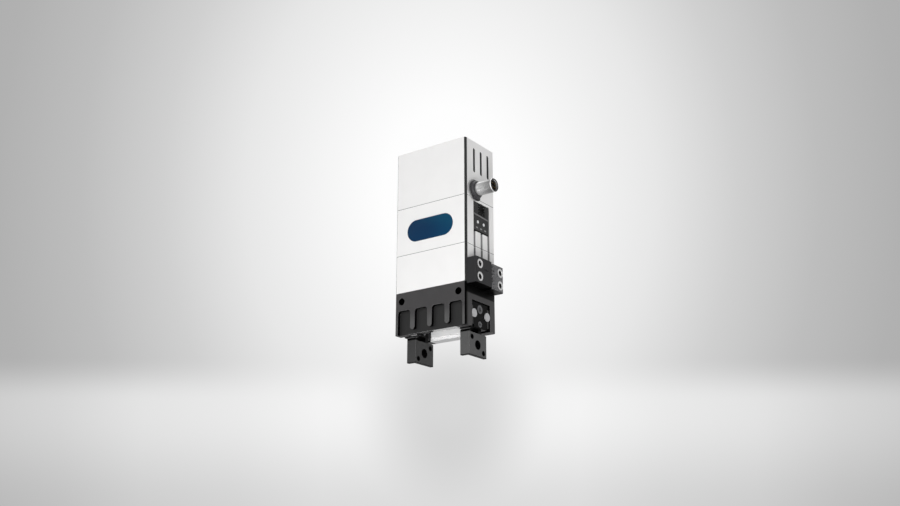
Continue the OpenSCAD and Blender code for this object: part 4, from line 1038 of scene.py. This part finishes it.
# ---------- Sensor bracket ----------
# Two aluminium clamping blocks screwed to the right side of the gearhead sleeve: a black one in front
# and a grey, coarsely blasted one behind it, each with two socket screws sunk in counterbores.
bracket_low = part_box("sensor_bracket")[0]
clamp_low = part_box("sensor_clamp")[0]


def bracket_painted_shade(f):
    """Painted shade: the underside, which lies in the block's own shade."""
    return f.z < (bracket_low.z + skin)


def clamp_pits_and_painted_shade(f):
    """Pits in the blasting, close together towards the front, and painted shade over all of the front and the
    underside.
    """
    towards_front = f.step(f.y, clamp_low.y + 3 * mm, clamp_low.y)
    pits = f.step(f.noise(0.9, detail=2.0) + towards_front * 0.12, 0.50, 0.70) * 0.75
    # Painted shade on the front and the underside.
    hidden = f.either(f.y < (clamp_low.y + 0.35 * mm), f.z < (clamp_low.z + skin))
    return f.either(pits, hidden)


bracket_finish = anodised(
    "bracket_black_anodising", (0.016, 0.016, 0.017, 1), (0.028, 0.028, 0.029, 1), (0.11, 0.11, 0.115, 1),
    0.46, metallic=0.2, edge=0.3, specular=0.15, painted_shade_and_pits=bracket_painted_shade,
)
clamp_finish = anodised(
    "clamp_grey_anodising", (0.055, 0.055, 0.057, 1), (0.20, 0.20, 0.205, 1), (0.40, 0.40, 0.41, 1),
    0.42, metallic=0.3, edge=0.3, specular=0.3, mottle=1.6, painted_shade_and_pits=clamp_pits_and_painted_shade,
)
dress(bracket_finish, "sensor_bracket")
dress(clamp_finish, "sensor_clamp")

screws_low, screws_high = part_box("bracket_screws")
head_r = 2.75 * mm
head_h = 3 * mm
shank_r = 1.25 * mm
hex_r = 1.75 * mm
screw_spacing = 7.5 * mm
head_top = screws_high.x


def hexagon(a):
    """The radius of a hexagon whose corners lie hex_r from its centre."""
    return hex_r * math.cos(math.pi / 6) / math.cos((a + math.pi / 6) % (math.pi / 3) - math.pi / 6)


screw_rings = [
    (shank_r - 0.2 * mm, screws_low.x),
    (shank_r, screws_low.x + 0.2 * mm),
    (shank_r, head_top - head_h),
    (head_r, head_top - head_h),
    (head_r, head_top - 0.35 * mm),
    (head_r - 0.1 * mm, head_top - 0.1 * mm),
    (head_r - 0.35 * mm, head_top),
    (hex_r + 0.12 * mm, head_top),
    (hexagon, head_top - 0.15 * mm),
    (hexagon, head_top - 1.6 * mm),
    (0.1 * mm, head_top - 2.1 * mm),
]


def socket_shade(f, colour):
    """Painted shade: the sockets, and all that lies more than half a millimetre below the heads' tops, are
    near black.
    """
    return f.mix(f.x < (head_top - 0.5 * mm), colour, grey(0.02))


bracket_screw_steel = ground_steel(
    "bracket_screw_steel", grey(0.50), grey(0.66), 0.40, stretch=(1, 1, 1), metallic=0.4, tone=socket_shade,
)
screw = turned(screw_rings, 48)
screw_starts = [
    ((0, screws_low.y + head_r, screws_high.z - head_r - screw_spacing), 3),
    ((0, screws_high.y - head_r, screws_low.z + head_r), 8),
]
screw_rows = [
    row.copies(screw, bracket_screw_steel, 2, start, step=(0, 0, screw_spacing), stray=25, seed=seed)
    for start, seed in screw_starts
]
add_piece("bracket_socket_screws", joined(*screw_rows), bracket_screw_steel, "bright_steel", "housing",
          "bracket_screws")
